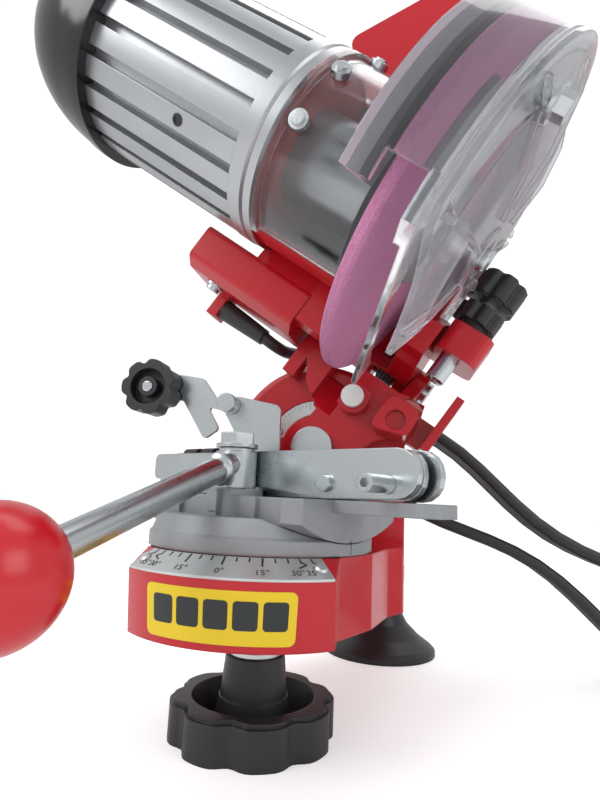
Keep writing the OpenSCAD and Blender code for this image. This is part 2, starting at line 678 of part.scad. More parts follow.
// --- Return spring round the pivot shaft, in a gap of the barrel ---
spring_n0 = 6;
spring_n1 = 20;
spring_turns = 5;
spring_wire = 0.9;
spring_r = 7.2;
spring_rings = 24;
function spring_at(t) = [spring_n0 + 2 + t * (spring_n1 - spring_n0 - 4), pivot_y + spring_r * cos(360 * spring_turns * t),
  pivot_v + spring_r * sin(360 * spring_turns * t)];
// A tube of `sides` sides with a ring at each point; both ends are closed.
function ring_frame(a, b) = let (t = unit(b - a), s = unit(cross(t, abs(t[2]) < 0.9 ? [0, 0, 1] : [1, 0, 0])))
  [s, cross(s, t)];
function way_at(p, i) = [p[max(i - 1, 0)], p[min(i + 1, len(p) - 1)]];
module tube(points, r, sides) {
  count = len(points);
  verts = [for (i = [0:count - 1]) let (w = way_at(points, i), f = ring_frame(w[0], w[1])) for (k = [0:sides - 1])
    points[i] + r * (cos(360 * k / sides) * f[0] + sin(360 * k / sides) * f[1])];
  sides_of = [for (i = [0:count - 2]) for (k = [0:sides - 1]) let (a = i * sides + k, b = i * sides + (k + 1) % sides)
    each [[a, a + sides, b + sides], [a, b + sides, b]]];
  first = [for (k = [1:sides - 2]) [0, k, k + 1]];
  last = [for (k = [1:sides - 2]) [(count - 1) * sides, (count - 1) * sides + k + 1, (count - 1) * sides + k]];
  polyhedron(verts, concat(sides_of, first, last), 4);
}
module return_spring() {
  color("gray") in_head()
    tube([for (i = [0:spring_turns * spring_rings]) spring_at(i / (spring_turns * spring_rings))], spring_wire, 6);
}
// --- Head ---
hub_seat = wheel_t / 2;
web_t = 3.5;
rim_t = 4;
disc_edge = 44;
disc_step = 0.5;
neck_r = ring_r - 2.5;
tube_r = 22;
bearing_r = 15;
box_n0 = -95;
box_n1 = -29.5;
stop_block_v = 82;
depth_n = 38;
depth_y = 46;
depth_r = 5;
depth_knob_r = 13;
depth_end_v = 68;
module head_casting() {
  color("firebrick") in_head() difference() {
    union() {
      rod_x(ear_left + ear_t + gap, ear_right - gap, pivot_y, pivot_v, barrel_r);
      // Housing round the back of the wheel: web, rim and lip in one profile
      about_shaft(62, 215) polygon([[40, -guard_in], [guard_r + rim_t, -guard_in], [guard_r + rim_t, guard_out + 1],
        [guard_r - 7, guard_out + 1], [guard_r - 7, guard_out - 2.5], [guard_r, guard_out - 2.5],
        [guard_r, -guard_in + web_t], [40, -guard_in + web_t]]);
      about_shaft() ring(bearing_r - 1, disc_edge, -guard_in - disc_step, -guard_in + web_t + disc_step);
      // Bearing tube, back half of the neck and the motor's flange
      about_shaft() ring(bearing_r - 1, tube_r + 0.2, -ring_n + 3, -guard_in + 1);
      about_shaft(99, 281) ring(neck_r - 4.2, neck_r, -ring_n + 1, -guard_in);
      about_shaft() ring(bearing_r - 1, neck_r + 1, -ring_n - 0.5, -ring_n + 4);
      // Solid between the housing and the barrel
      difference() {
        slab_x(ear_left + ear_t + gap + 0.5, ear_right - gap - 0.5) polygon([[83.5, 68], [82, 76], [72, 92], [56, 100],
          [40, 92], [40, 75], [44.5, 72], [47.5, 68.5], [54, 64.5], [60, 61], [68, 62]]);
        rod_x(-guard_in + web_t - 0.5, guard_out - 2, wheel_y, wheel_v, wheel_r + 3.5);
      }
      // Arm and switch box under the motor
      slab_x(box_n0, box_n1) polygon(rounded([[20, 48, 3], [28, 44, 3], [58, 44, 4], [58, 66, 3], [20, 66, 3]]));
      slab_x(-ring_n + 1, box_n1 - 0.5) polygon([[20, 60], [58, 60], [62, 88], [46, 100], [30, 84], [22, 74]]);
      slab_x(box_n1 - 1, -guard_in + 1) polygon([[20.5, 51], [30, 50], [34, 56], [38, 61], [40, 74], [47, 99],
        [31, 83], [20.5, 73.5]]);
      slab_x(box_n1 - 1.5, ear_left + ear_t + gap + 4) polygon([[38, 66], [46, 72], [72, 80], [62, 96], [40, 92]]);
      // Carrier of the depth screw
      slab_z(stop_block_v, stop_block_v + 16) polygon(rounded([[14, 54, 0], [29, 54, 0], [29, 37, 5], [51.5, 37, 6],
        [51.5, 66, 6], [14, 72, 0]]));
      // Lug for the cord's boot
      translate([-82, 46.2, 31]) cube([6, 11.6, 15]);
      // Handle above the motor
      slab_y(14, 34) polygon(rounded([[-10, 185, 0], [-14, 155, 0], [-50, 158, 8], [-93, 180, 6], [-69, 226, 10],
        [-30, 234, 14]]));
    }
    // The motor and its neck pass through
    rod_x(box_n0 - 5, -ring_n, wheel_y, wheel_v, ring_r + 0.5);
    difference() {
      rod_x(-ring_n + 3.6, -guard_in - 0.2, wheel_y, wheel_v, neck_r - 4);
      rod_x(-ring_n + 3, -guard_in, wheel_y, wheel_v, tube_r);
    }
    rod_x(-ring_n - 1, -guard_in + 5, wheel_y, wheel_v, bearing_r);
    rod_x(-60, 60, pivot_y, pivot_v, pivot_r + run_gap);
    rod_z(60, 130, depth_n, depth_y, depth_r + run_gap);
    // The return spring's gap
    difference() {
      rod_x(spring_n0, spring_n1, pivot_y, pivot_v, barrel_r + 1);
      rod_x(spring_n0 - 1, spring_n1 + 1, pivot_y, pivot_v, 5.6);
    }
    // Pocket of the switch at the back
    translate([-77.8, 44, 49]) cube([25.6, 15, 13]);
    rod_x(-90, -70, cord_exit[1], cord_exit[2], 3.6);
    rod_x(box_n0 - 1, box_n0 + 6, 34, 57, 2.5);
    rod_z(40, 50, -80, 34, 2.5);
  }
}
module bearings() {
  color("silver") in_head() for (n = [-58, -28, cap_n - 22])
    about_shaft() ring(shaft_r + run_gap, bearing_r - fit_gap, n, n + 10);
}
module depth_screw() {
  color("silver") in_head() {
    rod_z(depth_end_v + 1.2, 121, depth_n, depth_y, depth_r);
    translate([depth_n, depth_y, depth_end_v]) cylinder(h = 1.2, r1 = depth_r - 1, r2 = depth_r);
  }
}
module depth_knob() {
  color([0.13, 0.13, 0.14]) in_head() difference() {
    union() {
      translate([depth_n, depth_y, 115]) linear_extrude(12) lobes(depth_knob_r, 7, 2);
      translate([depth_n, depth_y, 114]) linear_extrude(14) lobes(depth_knob_r - 1, 7, 2);
    }
    rod_z(100, 121, depth_n, depth_y, depth_r);
  }
}
module depth_lock_knob() {
  color([0.13, 0.13, 0.14]) in_head() difference() {
    union() {
      translate([depth_n, depth_y, stop_block_v + 19]) linear_extrude(9) lobes(11.5, 7, 1.8);
      rod_z(stop_block_v + 16 + gap, stop_block_v + 20, depth_n, depth_y, 8);
    }
    rod_z(60, 140, depth_n, depth_y, depth_r + run_gap);
  }
}
// --- Motor ---
cap_n = -ring_n - ring_w - fin_len - 6;
fin_n = -ring_n - ring_w - fin_len;
core_r = 36;
module motor_ring() {
  color("silver") in_head() difference() {
    about_shaft() polygon([[bearing_r + 1, -ring_n - ring_w], [ring_r, -ring_n - ring_w], [ring_r, -ring_n - 1.5],
      [ring_r - 1.5, -ring_n], [neck_r - 3, -ring_n], [neck_r - 5, -ring_n - 3], [bearing_r + 1, -ring_n - 3]]);
  }
}
module motor_housing() {
  color("silver") in_head() translate([fin_n, wheel_y, wheel_v]) rotate([90, 0, 90]) linear_extrude(fin_len)
    difference() {
      circle(ring_r - 0.5);
      circle(core_r);
      for (i = [0:fin_count - 1])
        rotate(90 + (i + 0.5) * 360 / fin_count) translate([ring_r - 0.5 - fin_h, -groove_w / 2]) square([fin_h + 2, groove_w]);
    }
}
module stator() {
  color("peru") in_head() {
    about_shaft() ring(24, core_r - fit_gap, fin_n + 18, fin_n + 68);
    about_shaft() ring(26, core_r - 2, fin_n + 8, fin_n + 18);
    about_shaft() ring(26, core_r - 2, fin_n + 68, fin_n + 78);
  }
}
module end_cap() {
  color([0.13, 0.13, 0.14]) in_head() {
    about_shaft() polygon(concat([[cap_r, fin_n], [cap_r, cap_n]],
      [for (a = [6:12:90]) [20 + (cap_r - 21) * cos(a), cap_n - 2 - (cap_len - 8) * sin(a)]],
      [[0, cap_n - cap_len + 6], [0, cap_n - cap_len + 10], [20, cap_n - cap_len + 10]],
      [for (a = [84:-12:6]) [17 + (cap_r - 22) * cos(a), cap_n - (cap_len - 12) * sin(a)]],
      [[core_r + 5, cap_n], [core_r + 5, fin_n]]));
    about_shaft() ring(bearing_r, bearing_r + 4, cap_n - cap_len + 9, cap_n - 12);
  }
}
module rotor() {
  color("dimgray") in_head() {
    about_shaft() ring(shaft_r + fit_gap, 23.4, fin_n + 18, fin_n + 68);
    about_shaft() ring(shaft_r + fit_gap, 12, cap_n - 9, cap_n + 3);
    for (a = [0:45:315])
      translate([0, wheel_y, wheel_v]) rotate([a, 0, 0]) translate([cap_n - 9, -1, 11]) cube([10, 2, 22]);
  }
}
module arbor_shaft() {
  color("silver") in_head() difference() {
    about_shaft() polygon([[0, cap_n - 24], [shaft_r, cap_n - 24], [shaft_r, 14], [shaft_r - 1, 15],
      [shaft_r - 1, 30], [shaft_r - 2, 31], [0, 31]]);
  }
}
flange_r = 25;
module inner_flange() {
  color("darkgray") in_head() {
    about_shaft() polygon([[shaft_r, -9], [12, -9], [14, -7], [flange_r, -6], [flange_r, -hub_seat],
      [wheel_bore_r - fit_gap, -hub_seat], [wheel_bore_r - fit_gap, hub_seat - 0.5], [shaft_r, hub_seat - 0.5]]);
  }
}
module outer_flange() {
  color("darkgray") in_head()
    about_shaft() polygon([[shaft_r, hub_seat], [flange_r, hub_seat], [flange_r, hub_seat + 3], [14, hub_seat + 5],
      [shaft_r, hub_seat + 5]]);
}
module arbor_nut() {
  color("silver") in_head() difference() {
    translate([hub_seat + 5, wheel_y, wheel_v]) rotate([0, 90, 0]) hex(10.5, 6.5);
    about_shaft() ring(0, shaft_r, 0, 20);
  }
}
module grinding_wheel() {
  color("orchid") in_head()
    about_shaft() polygon([[wheel_bore_r, -hub_seat], [wheel_r - 1, -hub_seat], [wheel_r, -hub_seat + 1],
      [wheel_r, hub_seat - 1], [wheel_r - 1, hub_seat], [wheel_bore_r, hub_seat]]);
}
// --- Clear guards ---
module neck_shroud() {
  color([0.8, 0.85, 0.87, 0.4]) in_head() {
    about_shaft(-78, 98) polygon([[neck_r - clear_t, -ring_n + 4.2], [neck_r + 2.5, -ring_n + 4.2],
      [neck_r + 2.5, -ring_n + 8], [neck_r, -ring_n + 8], [neck_r, -guard_in - disc_step - gap],
      [neck_r - clear_t, -guard_in - disc_step - gap]]);
  }
}
// Below this line the guards would meet the jaws when the wheel is down.
module below_jaw_line(reach) {
  translate([0, wheel_y, wheel_v]) rotate([-swing, 0, 0]) translate([-100, -150, -reach - 100]) cube([200, 300, 100]);
}
module wheel_guard() {
  edge_r = guard_r + rim_t - 0.5;
  color([0.8, 0.85, 0.87, 0.4]) in_head() difference() {
    union() {
      // Rim with a wall on each side
      about_shaft(-15, 61.8) polygon([[disc_edge, -guard_in], [edge_r, -guard_in], [edge_r, guard_out],
        [50, guard_out], [50, guard_out - clear_t], [guard_r + 1, guard_out - clear_t],
        [guard_r + 1, -guard_in + clear_t], [disc_edge, -guard_in + clear_t]]);
      // Lower down it splits, so that the chain can pass between the two strips.
      about_shaft(-40, -14) polygon([[46, 0.1 - guard_in], [edge_r - 0.2, 0.1 - guard_in], [edge_r - 0.2, 11 - guard_in],
        [guard_r + 0.8, 11 - guard_in], [guard_r + 0.8, clear_t - guard_in - 0.1], [46, clear_t - guard_in - 0.1]]);
      about_shaft(-88, -14) polygon([[57, guard_out - clear_t + 0.1], [guard_r - 2, guard_out - clear_t + 0.1],
        [guard_r - 2, guard_out - 5], [edge_r - 0.2, guard_out - 5], [edge_r - 0.2, guard_out - 0.1],
        [57, guard_out - 0.1]]);
    }
    // Open middles of the walls
    rod_x(guard_out - 6, guard_out + 1, wheel_y, wheel_v - 4, 59);
    rod_x(-guard_in - 1, clear_t - guard_in + 1, wheel_y, wheel_v - 5, 50);
    translate([105, 0, 0]) below_jaw_line(down_v - 6);
  }
}
cover_n = guard_out + 1 + gap;
module side_cover() {
  color([0.8, 0.85, 0.87, 0.4]) in_head() difference() {
    union() {
      about_shaft(-72, 188) polygon([[9, cover_n + 6.5], [44, cover_n + 6.5], [guard_r - 12, cover_n + 3], [guard_r - 3, cover_n],
        [guard_r + rim_t - 0.5, cover_n], [guard_r + rim_t - 0.5, cover_n + clear_t], [guard_r - 2, cover_n + clear_t],
        [guard_r - 11, cover_n + 5.4], [45, cover_n + 9], [9, cover_n + 9]]);
      for (a = [-60:40:180])
        about_shaft(a - 1, a + 1) polygon([[22, cover_n + 8.5], [45, cover_n + 8.5], [guard_r - 11, cover_n + 5], [guard_r - 2, cover_n + 2],
          [guard_r - 2, cover_n + 4], [guard_r - 11, cover_n + 7.5], [46, cover_n + 11], [22, cover_n + 11]]);
      about_shaft() ring(9, 14, cover_n + 6.5, cover_n + 10);
    }
    cover_screw_place() cylinder(h = 60, r = screw_r, center = true);
    cover_screw_place() translate([0, 0, 7 - eps]) cylinder(h = 20, r = 7);
    below_jaw_line(down_v - 10.9);
    // Notch for the depth stop's knobs
    rod_z(stop_block_v, 150, depth_n, depth_y, depth_knob_r + 1);
  }
}
screw_r = 3;
cover_screw_a = 23;
cover_screw_at = guard_r - 10.5;
module cover_screw_place() {
  translate([cover_n, wheel_y, wheel_v]) rotate([-cover_screw_a, 0, 0]) translate([0, -cover_screw_at, 0])
    rotate([0, 90, 0]) children();
}
module cover_screw() {
  color("silver") in_head() cover_screw_place() {
    translate([0, 0, -1 - gap]) cylinder(h = 14 + gap, r = screw_r);
    translate([0, 0, -1 - gap]) cylinder(h = 1.9, r = 5.5);
    translate([0, 0, 7]) cylinder(h = 1.5, r = 6.5);
    translate([0, 0, 8.5]) hex(5, 4.5);
  }
}
module shroud_screw_place() {
  for (a = [-12, 22, 62])
    translate([-ring_n + 12.6, wheel_y, wheel_v]) rotate([-a, 0, 0]) translate([0, -neck_r, 0]) rotate([90, 0, 0])
      children();
}
module guard_screws() {
  color("silver") in_head() shroud_screw_place() {
    cylinder(h = 3, r = 4);
    translate([0, 0, 2.9]) cylinder(h = 1.2, r = 2.6);
  }
}
module box_screws() {
  color("silver") in_head() {
    translate([box_n0, 34, 57]) rotate([0, -90, 0]) {
      translate([0, 0, -6]) cylinder(h = 6, r = 2.5);
      cylinder(h = 1.2, r = 5);
      translate([0, 0, 1.2]) cylinder(h = 2.2, r = 3.6);
    }
    translate([-80, 34, 44]) rotate([180, 0, 0]) {
      translate([0, 0, -6]) cylinder(h = 6, r = 2.5);
      cylinder(h = 1.2, r = 5);
      translate([0, 0, 1.2]) cylinder(h = 2.2, r = 3.6);
    }
  }
}
module switch_rocker() {
  color([0.13, 0.13, 0.14]) in_head() translate([-65, 51.5, 50]) linear_extrude(11)
    polygon([[-10.5, -1], [-9, -4], [9, -4], [10.5, -1], [10.5, 7.5], [0, 5.2], [-10.5, 5.5]]);
}
// --- Cord ---
cord_r = 3.3;
cord_exit = [-48, 52, 38];
module cord_boot() {
  color([0.13, 0.13, 0.14]) in_head() difference() {
    union() {
      rod_x(-82, -76, cord_exit[1], cord_exit[2], 3.6 - fit_gap);
      translate([-76, cord_exit[1], cord_exit[2]]) rotate([0, 90, 0])
        cylinder(h = cord_exit[0] + 76, r1 = 5.7, r2 = cord_r + 1);
    }
    rod_x(-83, cord_exit[0] + 1, cord_exit[1], cord_exit[2], cord_r);
  }
}
function head_to_world(p) = [p[0] * cos(tilt_set) + p[2] * sin(tilt_set), p[1],
  chain_z - p[0] * sin(tilt_set) + p[2] * cos(tilt_set)];
// Route points, chosen by hand. Lead a swings with the head, lead b leans with the bracket, and
// the rest lies on the base: a lead, the hank and a tail with the plug.
lead_a = [[-74, 52, 38], [-60, 52, 38], [-48, 52, 38], [-42, 54, 38], [-37, 60, 39], [-34, 68, 42], [-32, 77, 46],
  [-30.8, 85, 49.3]];
lead_b = [[-30.75, 85.35, 49.45], [-30.2, 88.2, 50.4], [-26.5, 91.8, 50], [-21, 94, 49], [-13, 95, 49], [-3, 95, 49],
  [7, 95, 48.5], [16, 95.5, 48]];
cord_near = [66, 98, 108];
cord_far = [200, 98, 24.6];
loop_r = 21;
waist = 12;
loop_rings = 24;
loop_pitch = 8;
loop_turns = 3;
cord_way = unit(cord_far - cord_near);
cord_up = [-cord_way[2], 0, cord_way[0]];
run_len = norm(cord_far - cord_near);
// One turn of the hank: two straight runs that meet at a waist, and two round ends
function hank_ab(t) = let (q = floor(t / 6) % 4, k = (t % 6) / 6)
  q == 0 ? [run_len * k, loop_r - waist * (1 - cos(360 * k)) / 2]
  : q == 1 ? [run_len + loop_r * sin(180 * k), loop_r * cos(180 * k)]
  : q == 2 ? [run_len * (1 - k), -loop_r + waist * (1 - cos(360 * k)) / 2]
  : [-loop_r * sin(180 * k), -loop_r * cos(180 * k)];
function hank_at(t) = let (p = hank_ab(t)) cord_near + cord_way * p[0] + cord_up * p[1]
  + [0, loop_pitch * t / loop_rings, 0];
hank_points = [for (i = [0:loop_turns * loop_rings + 6]) hank_at(i)];
lead_c = concat([head_to_world([16.7, 95.54, 47.96]), [48, 96.2, 139.5], [56, 97, 136], [64, 97.6, 132.6], [71, 98, 129.3]],
  [hank_points[0]]);
tail_points = [[216, 124, 39], [224, 124, 32], [231, 124, 23], [238, 124, 14.5], [246, 124, 8], [256, 124, 4.4], [268, 124, 3.6]];
tail = concat([hank_points[len(hank_points) - 1]], tail_points);
module cord_lead_a() {
  color([0.13, 0.13, 0.14]) in_head() tube(lead_a, cord_r, 8);
}
module cord_lead_b() {
  color([0.13, 0.13, 0.14]) in_head() tube(lead_b, cord_r, 8);
}
module cord_lead_c() {
  color([0.13, 0.13, 0.14]) tube(lead_c, cord_r, 8);
}
module cord_hank() {
  color([0.13, 0.13, 0.14]) tube(hank_points, cord_r, 6);
}
module cord_tail() {
  color([0.13, 0.13, 0.14]) tube(tail, cord_r, 8);
}
function path_len(p, i = 0) = i >= len(p) - 1 ? 0 : norm(p[i + 1] - p[i]) + path_len(p, i + 1);
hank_gap = min([for (i = [0:len(hank_points) - 1]) for (j = [i + 6:1:len(hank_points) - 1])
  norm(hank_points[i] - hank_points[j])]) - 2 * cord_r;
echo(hank_gap = hank_gap, hank_length = path_len(hank_points),
  lead_lengths = [path_len(lead_a), path_len(lead_b), path_len(lead_c), path_len(tail)]);
plug_z = 9;
module mains_plug() {
  color([0.13, 0.13, 0.14]) translate(tail[len(tail) - 1]) {
    rotate([0, 90, 0]) cylinder(h = 12, r1 = cord_r, r2 = 5);
    translate([11, -12, -cord_r]) linear_extrude(14)
      polygon(rounded([[0, 6, 4], [0, 18, 4], [10, 24, 6], [24, 22, 2], [24, 2, 2], [10, 0, 6]]));
  }
  color("silver") for (s = [-1, 1])
    translate(tail[len(tail) - 1]) rod_x(34, 52, s * 6.5, plug_z - cord_r - 2.4, 2);
}

base_casting();
vise_scale_plate();
scale_rivets();
tilt_scale_plate();
tilt_scale_rivets();
rear_foot();
foot_bolt();
clamp_bush();
clamp_washer();
clamp_knob();
clamp_stud();
turntable();
vise_block();
fixed_jaw();
moving_jaw();
jaw_guide_pins();
clamp_lever();
lever_ball();
lever_bolt();
adjust_screw();
adjust_lock_knob();
stop_bracket();
stop_hinge_pin();
stop_arm();
stop_knob();
tilt_pivot_bolt();
tilt_bracket();
slot_bolt();
tilt_lock_knob();
pivot_shaft();
return_spring();
head_casting();
bearings();
depth_screw();
depth_knob();
depth_lock_knob();
motor_ring();
motor_housing();
stator();
end_cap();
rotor();
arbor_shaft();
inner_flange();
outer_flange();
arbor_nut();
grinding_wheel();
neck_shroud();
wheel_guard();
side_cover();
guard_screws();
cover_screw();
box_screws();
switch_rocker();
cord_boot();
cord_lead_a();
cord_lead_b();
cord_lead_c();
cord_hank();
cord_tail();
mains_plug();
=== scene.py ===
"""Bench chain sharpener with a tilting, swinging grinding head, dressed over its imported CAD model.
The file follows the machine as it is put together: cord, base, clamp, vise, stop, head, motor, wheel."""
import bpy
import bmesh
import math
from mathutils import Matrix, Vector


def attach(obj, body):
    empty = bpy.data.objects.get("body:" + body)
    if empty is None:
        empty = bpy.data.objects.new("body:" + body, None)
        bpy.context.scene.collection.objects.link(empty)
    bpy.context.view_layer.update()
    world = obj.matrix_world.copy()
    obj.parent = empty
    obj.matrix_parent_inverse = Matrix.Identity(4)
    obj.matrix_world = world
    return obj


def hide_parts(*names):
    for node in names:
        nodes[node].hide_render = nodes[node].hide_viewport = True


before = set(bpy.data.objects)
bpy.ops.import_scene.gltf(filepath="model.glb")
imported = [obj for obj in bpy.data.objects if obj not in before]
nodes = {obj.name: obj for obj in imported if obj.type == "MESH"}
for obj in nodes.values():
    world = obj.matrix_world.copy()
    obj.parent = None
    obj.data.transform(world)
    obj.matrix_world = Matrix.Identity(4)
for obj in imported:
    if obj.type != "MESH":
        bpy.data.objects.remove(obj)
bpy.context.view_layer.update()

MM = 0.001

# Photographer's place: the camera stands close, low and a little to the right of the vise's axis,
# looks up at the wheel and is turned slightly clockwise. A pale floor and three soft lamps.
yaw, pitch, roll = math.radians(10.87), math.radians(10.02), math.radians(2.46)
ahead = Vector((-math.sin(yaw) * math.cos(pitch), math.cos(yaw) * math.cos(pitch), math.sin(pitch)))
level_right = Vector((math.cos(yaw), math.sin(yaw), 0))
level_up = level_right.cross(ahead)
right = level_right * math.cos(roll) + level_up * math.sin(roll)
up = level_up * math.cos(roll) - level_right * math.sin(roll)
lens = bpy.data.cameras.new("photographer")
lens.lens, lens.sensor_width, lens.clip_start = 24.39, 36, 0.005
camera = bpy.data.objects.new("photographer", lens)
facing = Matrix((right, up, -ahead)).transposed().to_4x4()
camera.matrix_world = Matrix.Translation(Vector((55.6, -219.8, 90.1)) * MM) @ facing
bpy.context.scene.collection.objects.link(camera)
bpy.context.scene.camera = camera
bpy.context.scene.view_settings.view_transform = "Standard"


def keep(name, mesh, body=None):
    """A plain mesh object at the origin, riding on a body."""
    piece = bpy.data.objects.new(name, mesh)
    bpy.context.scene.collection.objects.link(piece)
    if body:
        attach(piece, body)
    return piece


def link(tree, start, end):
    tree.links.new(start, end)


floor_mesh = bpy.data.meshes.new("floor")
floor_mesh.from_pydata([(-4, -4, 0), (4, -4, 0), (4, 4, 0), (-4, 4, 0)], [], [(0, 1, 2, 3)])
floor = keep("floor", floor_mesh)
floor_paint = bpy.data.materials.new("pale_floor")
floor_paint.use_nodes = True
floor_shader = floor_paint.node_tree.nodes["Principled BSDF"]
floor_shader.inputs["Base Color"].default_value = (0.93, 0.93, 0.93, 1)
floor_shader.inputs["Roughness"].default_value = 0.8
floor_shader.inputs["Emission Color"].default_value = (1, 1, 1, 1)
floor_seen = floor_paint.node_tree.nodes.new("ShaderNodeLightPath")
floor_glow = floor_paint.node_tree.nodes.new("ShaderNodeMath")
floor_glow.operation, floor_glow.inputs[1].default_value = "MULTIPLY", 0.35
link(floor_paint.node_tree, floor_seen.outputs["Is Camera Ray"], floor_glow.inputs[0])
link(floor_paint.node_tree, floor_glow.outputs[0], floor_shader.inputs["Emission Strength"])
floor_mesh.materials.append(floor_paint)
sky = bpy.data.worlds.new("soft_room")
sky.use_nodes = True
sky_tree = sky.node_tree
room, backdrop = sky_tree.nodes["Background"], sky_tree.nodes.new("ShaderNodeBackground")
sky_seen, sky_pick = sky_tree.nodes.new("ShaderNodeLightPath"), sky_tree.nodes.new("ShaderNodeMixShader")
for light, colour, strength in [(room, (0.97, 0.98, 1.0, 1), 0.72), (backdrop, (1, 1, 1, 1), 1.1)]:
    light.inputs["Color"].default_value, light.inputs["Strength"].default_value = colour, strength
link(sky_tree, sky_seen.outputs["Is Camera Ray"], sky_pick.inputs["Fac"])
link(sky_tree, room.outputs["Background"], sky_pick.inputs[1])
link(sky_tree, backdrop.outputs["Background"], sky_pick.inputs[2])
link(sky_tree, sky_pick.outputs["Shader"], sky_tree.nodes["World Output"].inputs["Surface"])
bpy.context.scene.world = sky
for lamp_name, place, aim, width, power in [
    ("window_left", (-0.9, -0.9, 1.1), (0, 0, 0.15), 0.9, 11),
    ("panel_right", (1.1, -0.5, 0.7), (0, 0, 0.15), 0.7, 3.5),
    ("panel_above", (0.1, 0.5, 1.4), (0, 0.05, 0.2), 1.0, 6),
]:
    lamp = bpy.data.lights.new(lamp_name, "AREA")
    lamp.size, lamp.energy = width, power
    lamp_object = bpy.data.objects.new(lamp_name, lamp)
    lamp_object.matrix_world = Matrix.Translation(place) @ (
        (Vector(aim) - Vector(place)).to_track_quat("-Z", "Y").to_matrix().to_4x4()
    )
    bpy.context.scene.collection.objects.link(lamp_object)

# Finish shared by nearly every piece: a fine grain, a cloudy change of tone, and softened edges.
# The group puts out colour, roughness and normal; each material sets its own values.
grain = bpy.data.node_groups.new("grain_and_tone", "ShaderNodeTree")
for socket_name, kind, value in [
    ("Colour", "NodeSocketColor", (0.5, 0.5, 0.5, 1)),
    ("Tone", "NodeSocketColor", (0.4, 0.4, 0.4, 1)),
    ("Cloud Size", "NodeSocketFloat", 30.0),
    ("Grain Size", "NodeSocketFloat", 900.0),
    ("Grain Depth", "NodeSocketFloat", 0.1),
    ("Roughness", "NodeSocketFloat", 0.4),
    ("Roughness Change", "NodeSocketFloat", 0.1),
    ("Edge Radius", "NodeSocketFloat", 0.0006),
]:
    grain.interface.new_socket(socket_name, in_out="INPUT", socket_type=kind).default_value = value
grain.interface.new_socket("Colour", in_out="OUTPUT", socket_type="NodeSocketColor")
grain.interface.new_socket("Roughness", in_out="OUTPUT", socket_type="NodeSocketFloat")
grain.interface.new_socket("Normal", in_out="OUTPUT", socket_type="NodeSocketVector")
g_in, g_out = grain.nodes.new("NodeGroupInput"), grain.nodes.new("NodeGroupOutput")
coords = grain.nodes.new("ShaderNodeTexCoord")
cloud, speck = grain.nodes.new("ShaderNodeTexNoise"), grain.nodes.new("ShaderNodeTexNoise")
cloud.inputs["Detail"].default_value = 3
speck.inputs["Detail"].default_value = 2
tint = grain.nodes.new("ShaderNodeMix")
tint.data_type = "RGBA"
spread = grain.nodes.new("ShaderNodeMath")
spread.operation = "MULTIPLY_ADD"
soften = grain.nodes.new("ShaderNodeBevel")
soften.samples = 4
dent = grain.nodes.new("ShaderNodeBump")
dent.inputs["Distance"].default_value = 0.0004
for start, end in [
    (coords.outputs["Object"], cloud.inputs["Vector"]), (coords.outputs["Object"], speck.inputs["Vector"]),
    (g_in.outputs["Cloud Size"], cloud.inputs["Scale"]), (g_in.outputs["Grain Size"], speck.inputs["Scale"]),
    (cloud.outputs["Fac"], tint.inputs["Factor"]), (g_in.outputs["Colour"], tint.inputs["A"]),
    (g_in.outputs["Tone"], tint.inputs["B"]), (tint.outputs["Result"], g_out.inputs["Colour"]),
    (cloud.outputs["Fac"], spread.inputs[0]), (g_in.outputs["Roughness Change"], spread.inputs[1]),
    (g_in.outputs["Roughness"], spread.inputs[2]), (spread.outputs[0], g_out.inputs["Roughness"]),
    (g_in.outputs["Edge Radius"], soften.inputs["Radius"]), (soften.outputs["Normal"], dent.inputs["Normal"]),
    (speck.outputs["Fac"], dent.inputs["Height"]), (g_in.outputs["Grain Depth"], dent.inputs["Strength"]),
    (dent.outputs["Normal"], g_out.inputs["Normal"]),
]:
    link(grain, start, end)


def finish_of(name, colour, tone, rough, change=0.1, size=30, speckle=900, depth=0.1, edge=0.6, **values):
    """A material with the grain group in front of its own shader; edge is the softened radius in mm."""
    paint = bpy.data.materials.new(name)
    paint.use_nodes = True
    tree = paint.node_tree
    shader = tree.nodes["Principled BSDF"]
    surface = tree.nodes.new("ShaderNodeGroup")
    surface.node_tree = grain
    surface.inputs["Colour"].default_value = (*colour, 1)
    surface.inputs["Tone"].default_value = (*tone, 1)
    for socket_name, value in [
        ("Cloud Size", size), ("Grain Size", speckle), ("Grain Depth", depth),
        ("Roughness", rough), ("Roughness Change", change), ("Edge Radius", edge * MM),
    ]:
        surface.inputs[socket_name].default_value = value
    link(tree, surface.outputs["Colour"], shader.inputs["Base Color"])
    link(tree, surface.outputs["Roughness"], shader.inputs["Roughness"])
    link(tree, surface.outputs["Normal"], shader.inputs["Normal"])
    for socket_name, value in values.items():
        shader.inputs[socket_name.replace("_", " ")].default_value = value
    return paint


def paint_nodes(paint, *names):
    for name in names:
        nodes[name].data.materials.clear()
        nodes[name].data.materials.append(paint)


# Mains cord: a round black three-core lead, 6.6 mm thick and about 1.75 m long. It leaves the switch
# box through a boot, passes behind the leaning bracket, and hangs off the column's side as a hank
# whose turns lie on each other. The plug lies at its end.
cord_r = 3.3
rubber = finish_of("black_cord_sheath", (0.012, 0.012, 0.013), (0.03, 0.03, 0.031), 0.42,
                   depth=0.15, edge=0.2)
lean, chain_z = math.radians(35), 114


def from_head(n, y, v):
    """A point given along the motor shaft and square to it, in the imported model's frame, in mm."""
    x, z = n * math.cos(lean) + v * math.sin(lean), chain_z - n * math.sin(lean) + v * math.cos(lean)
    return Vector((x, y, z))


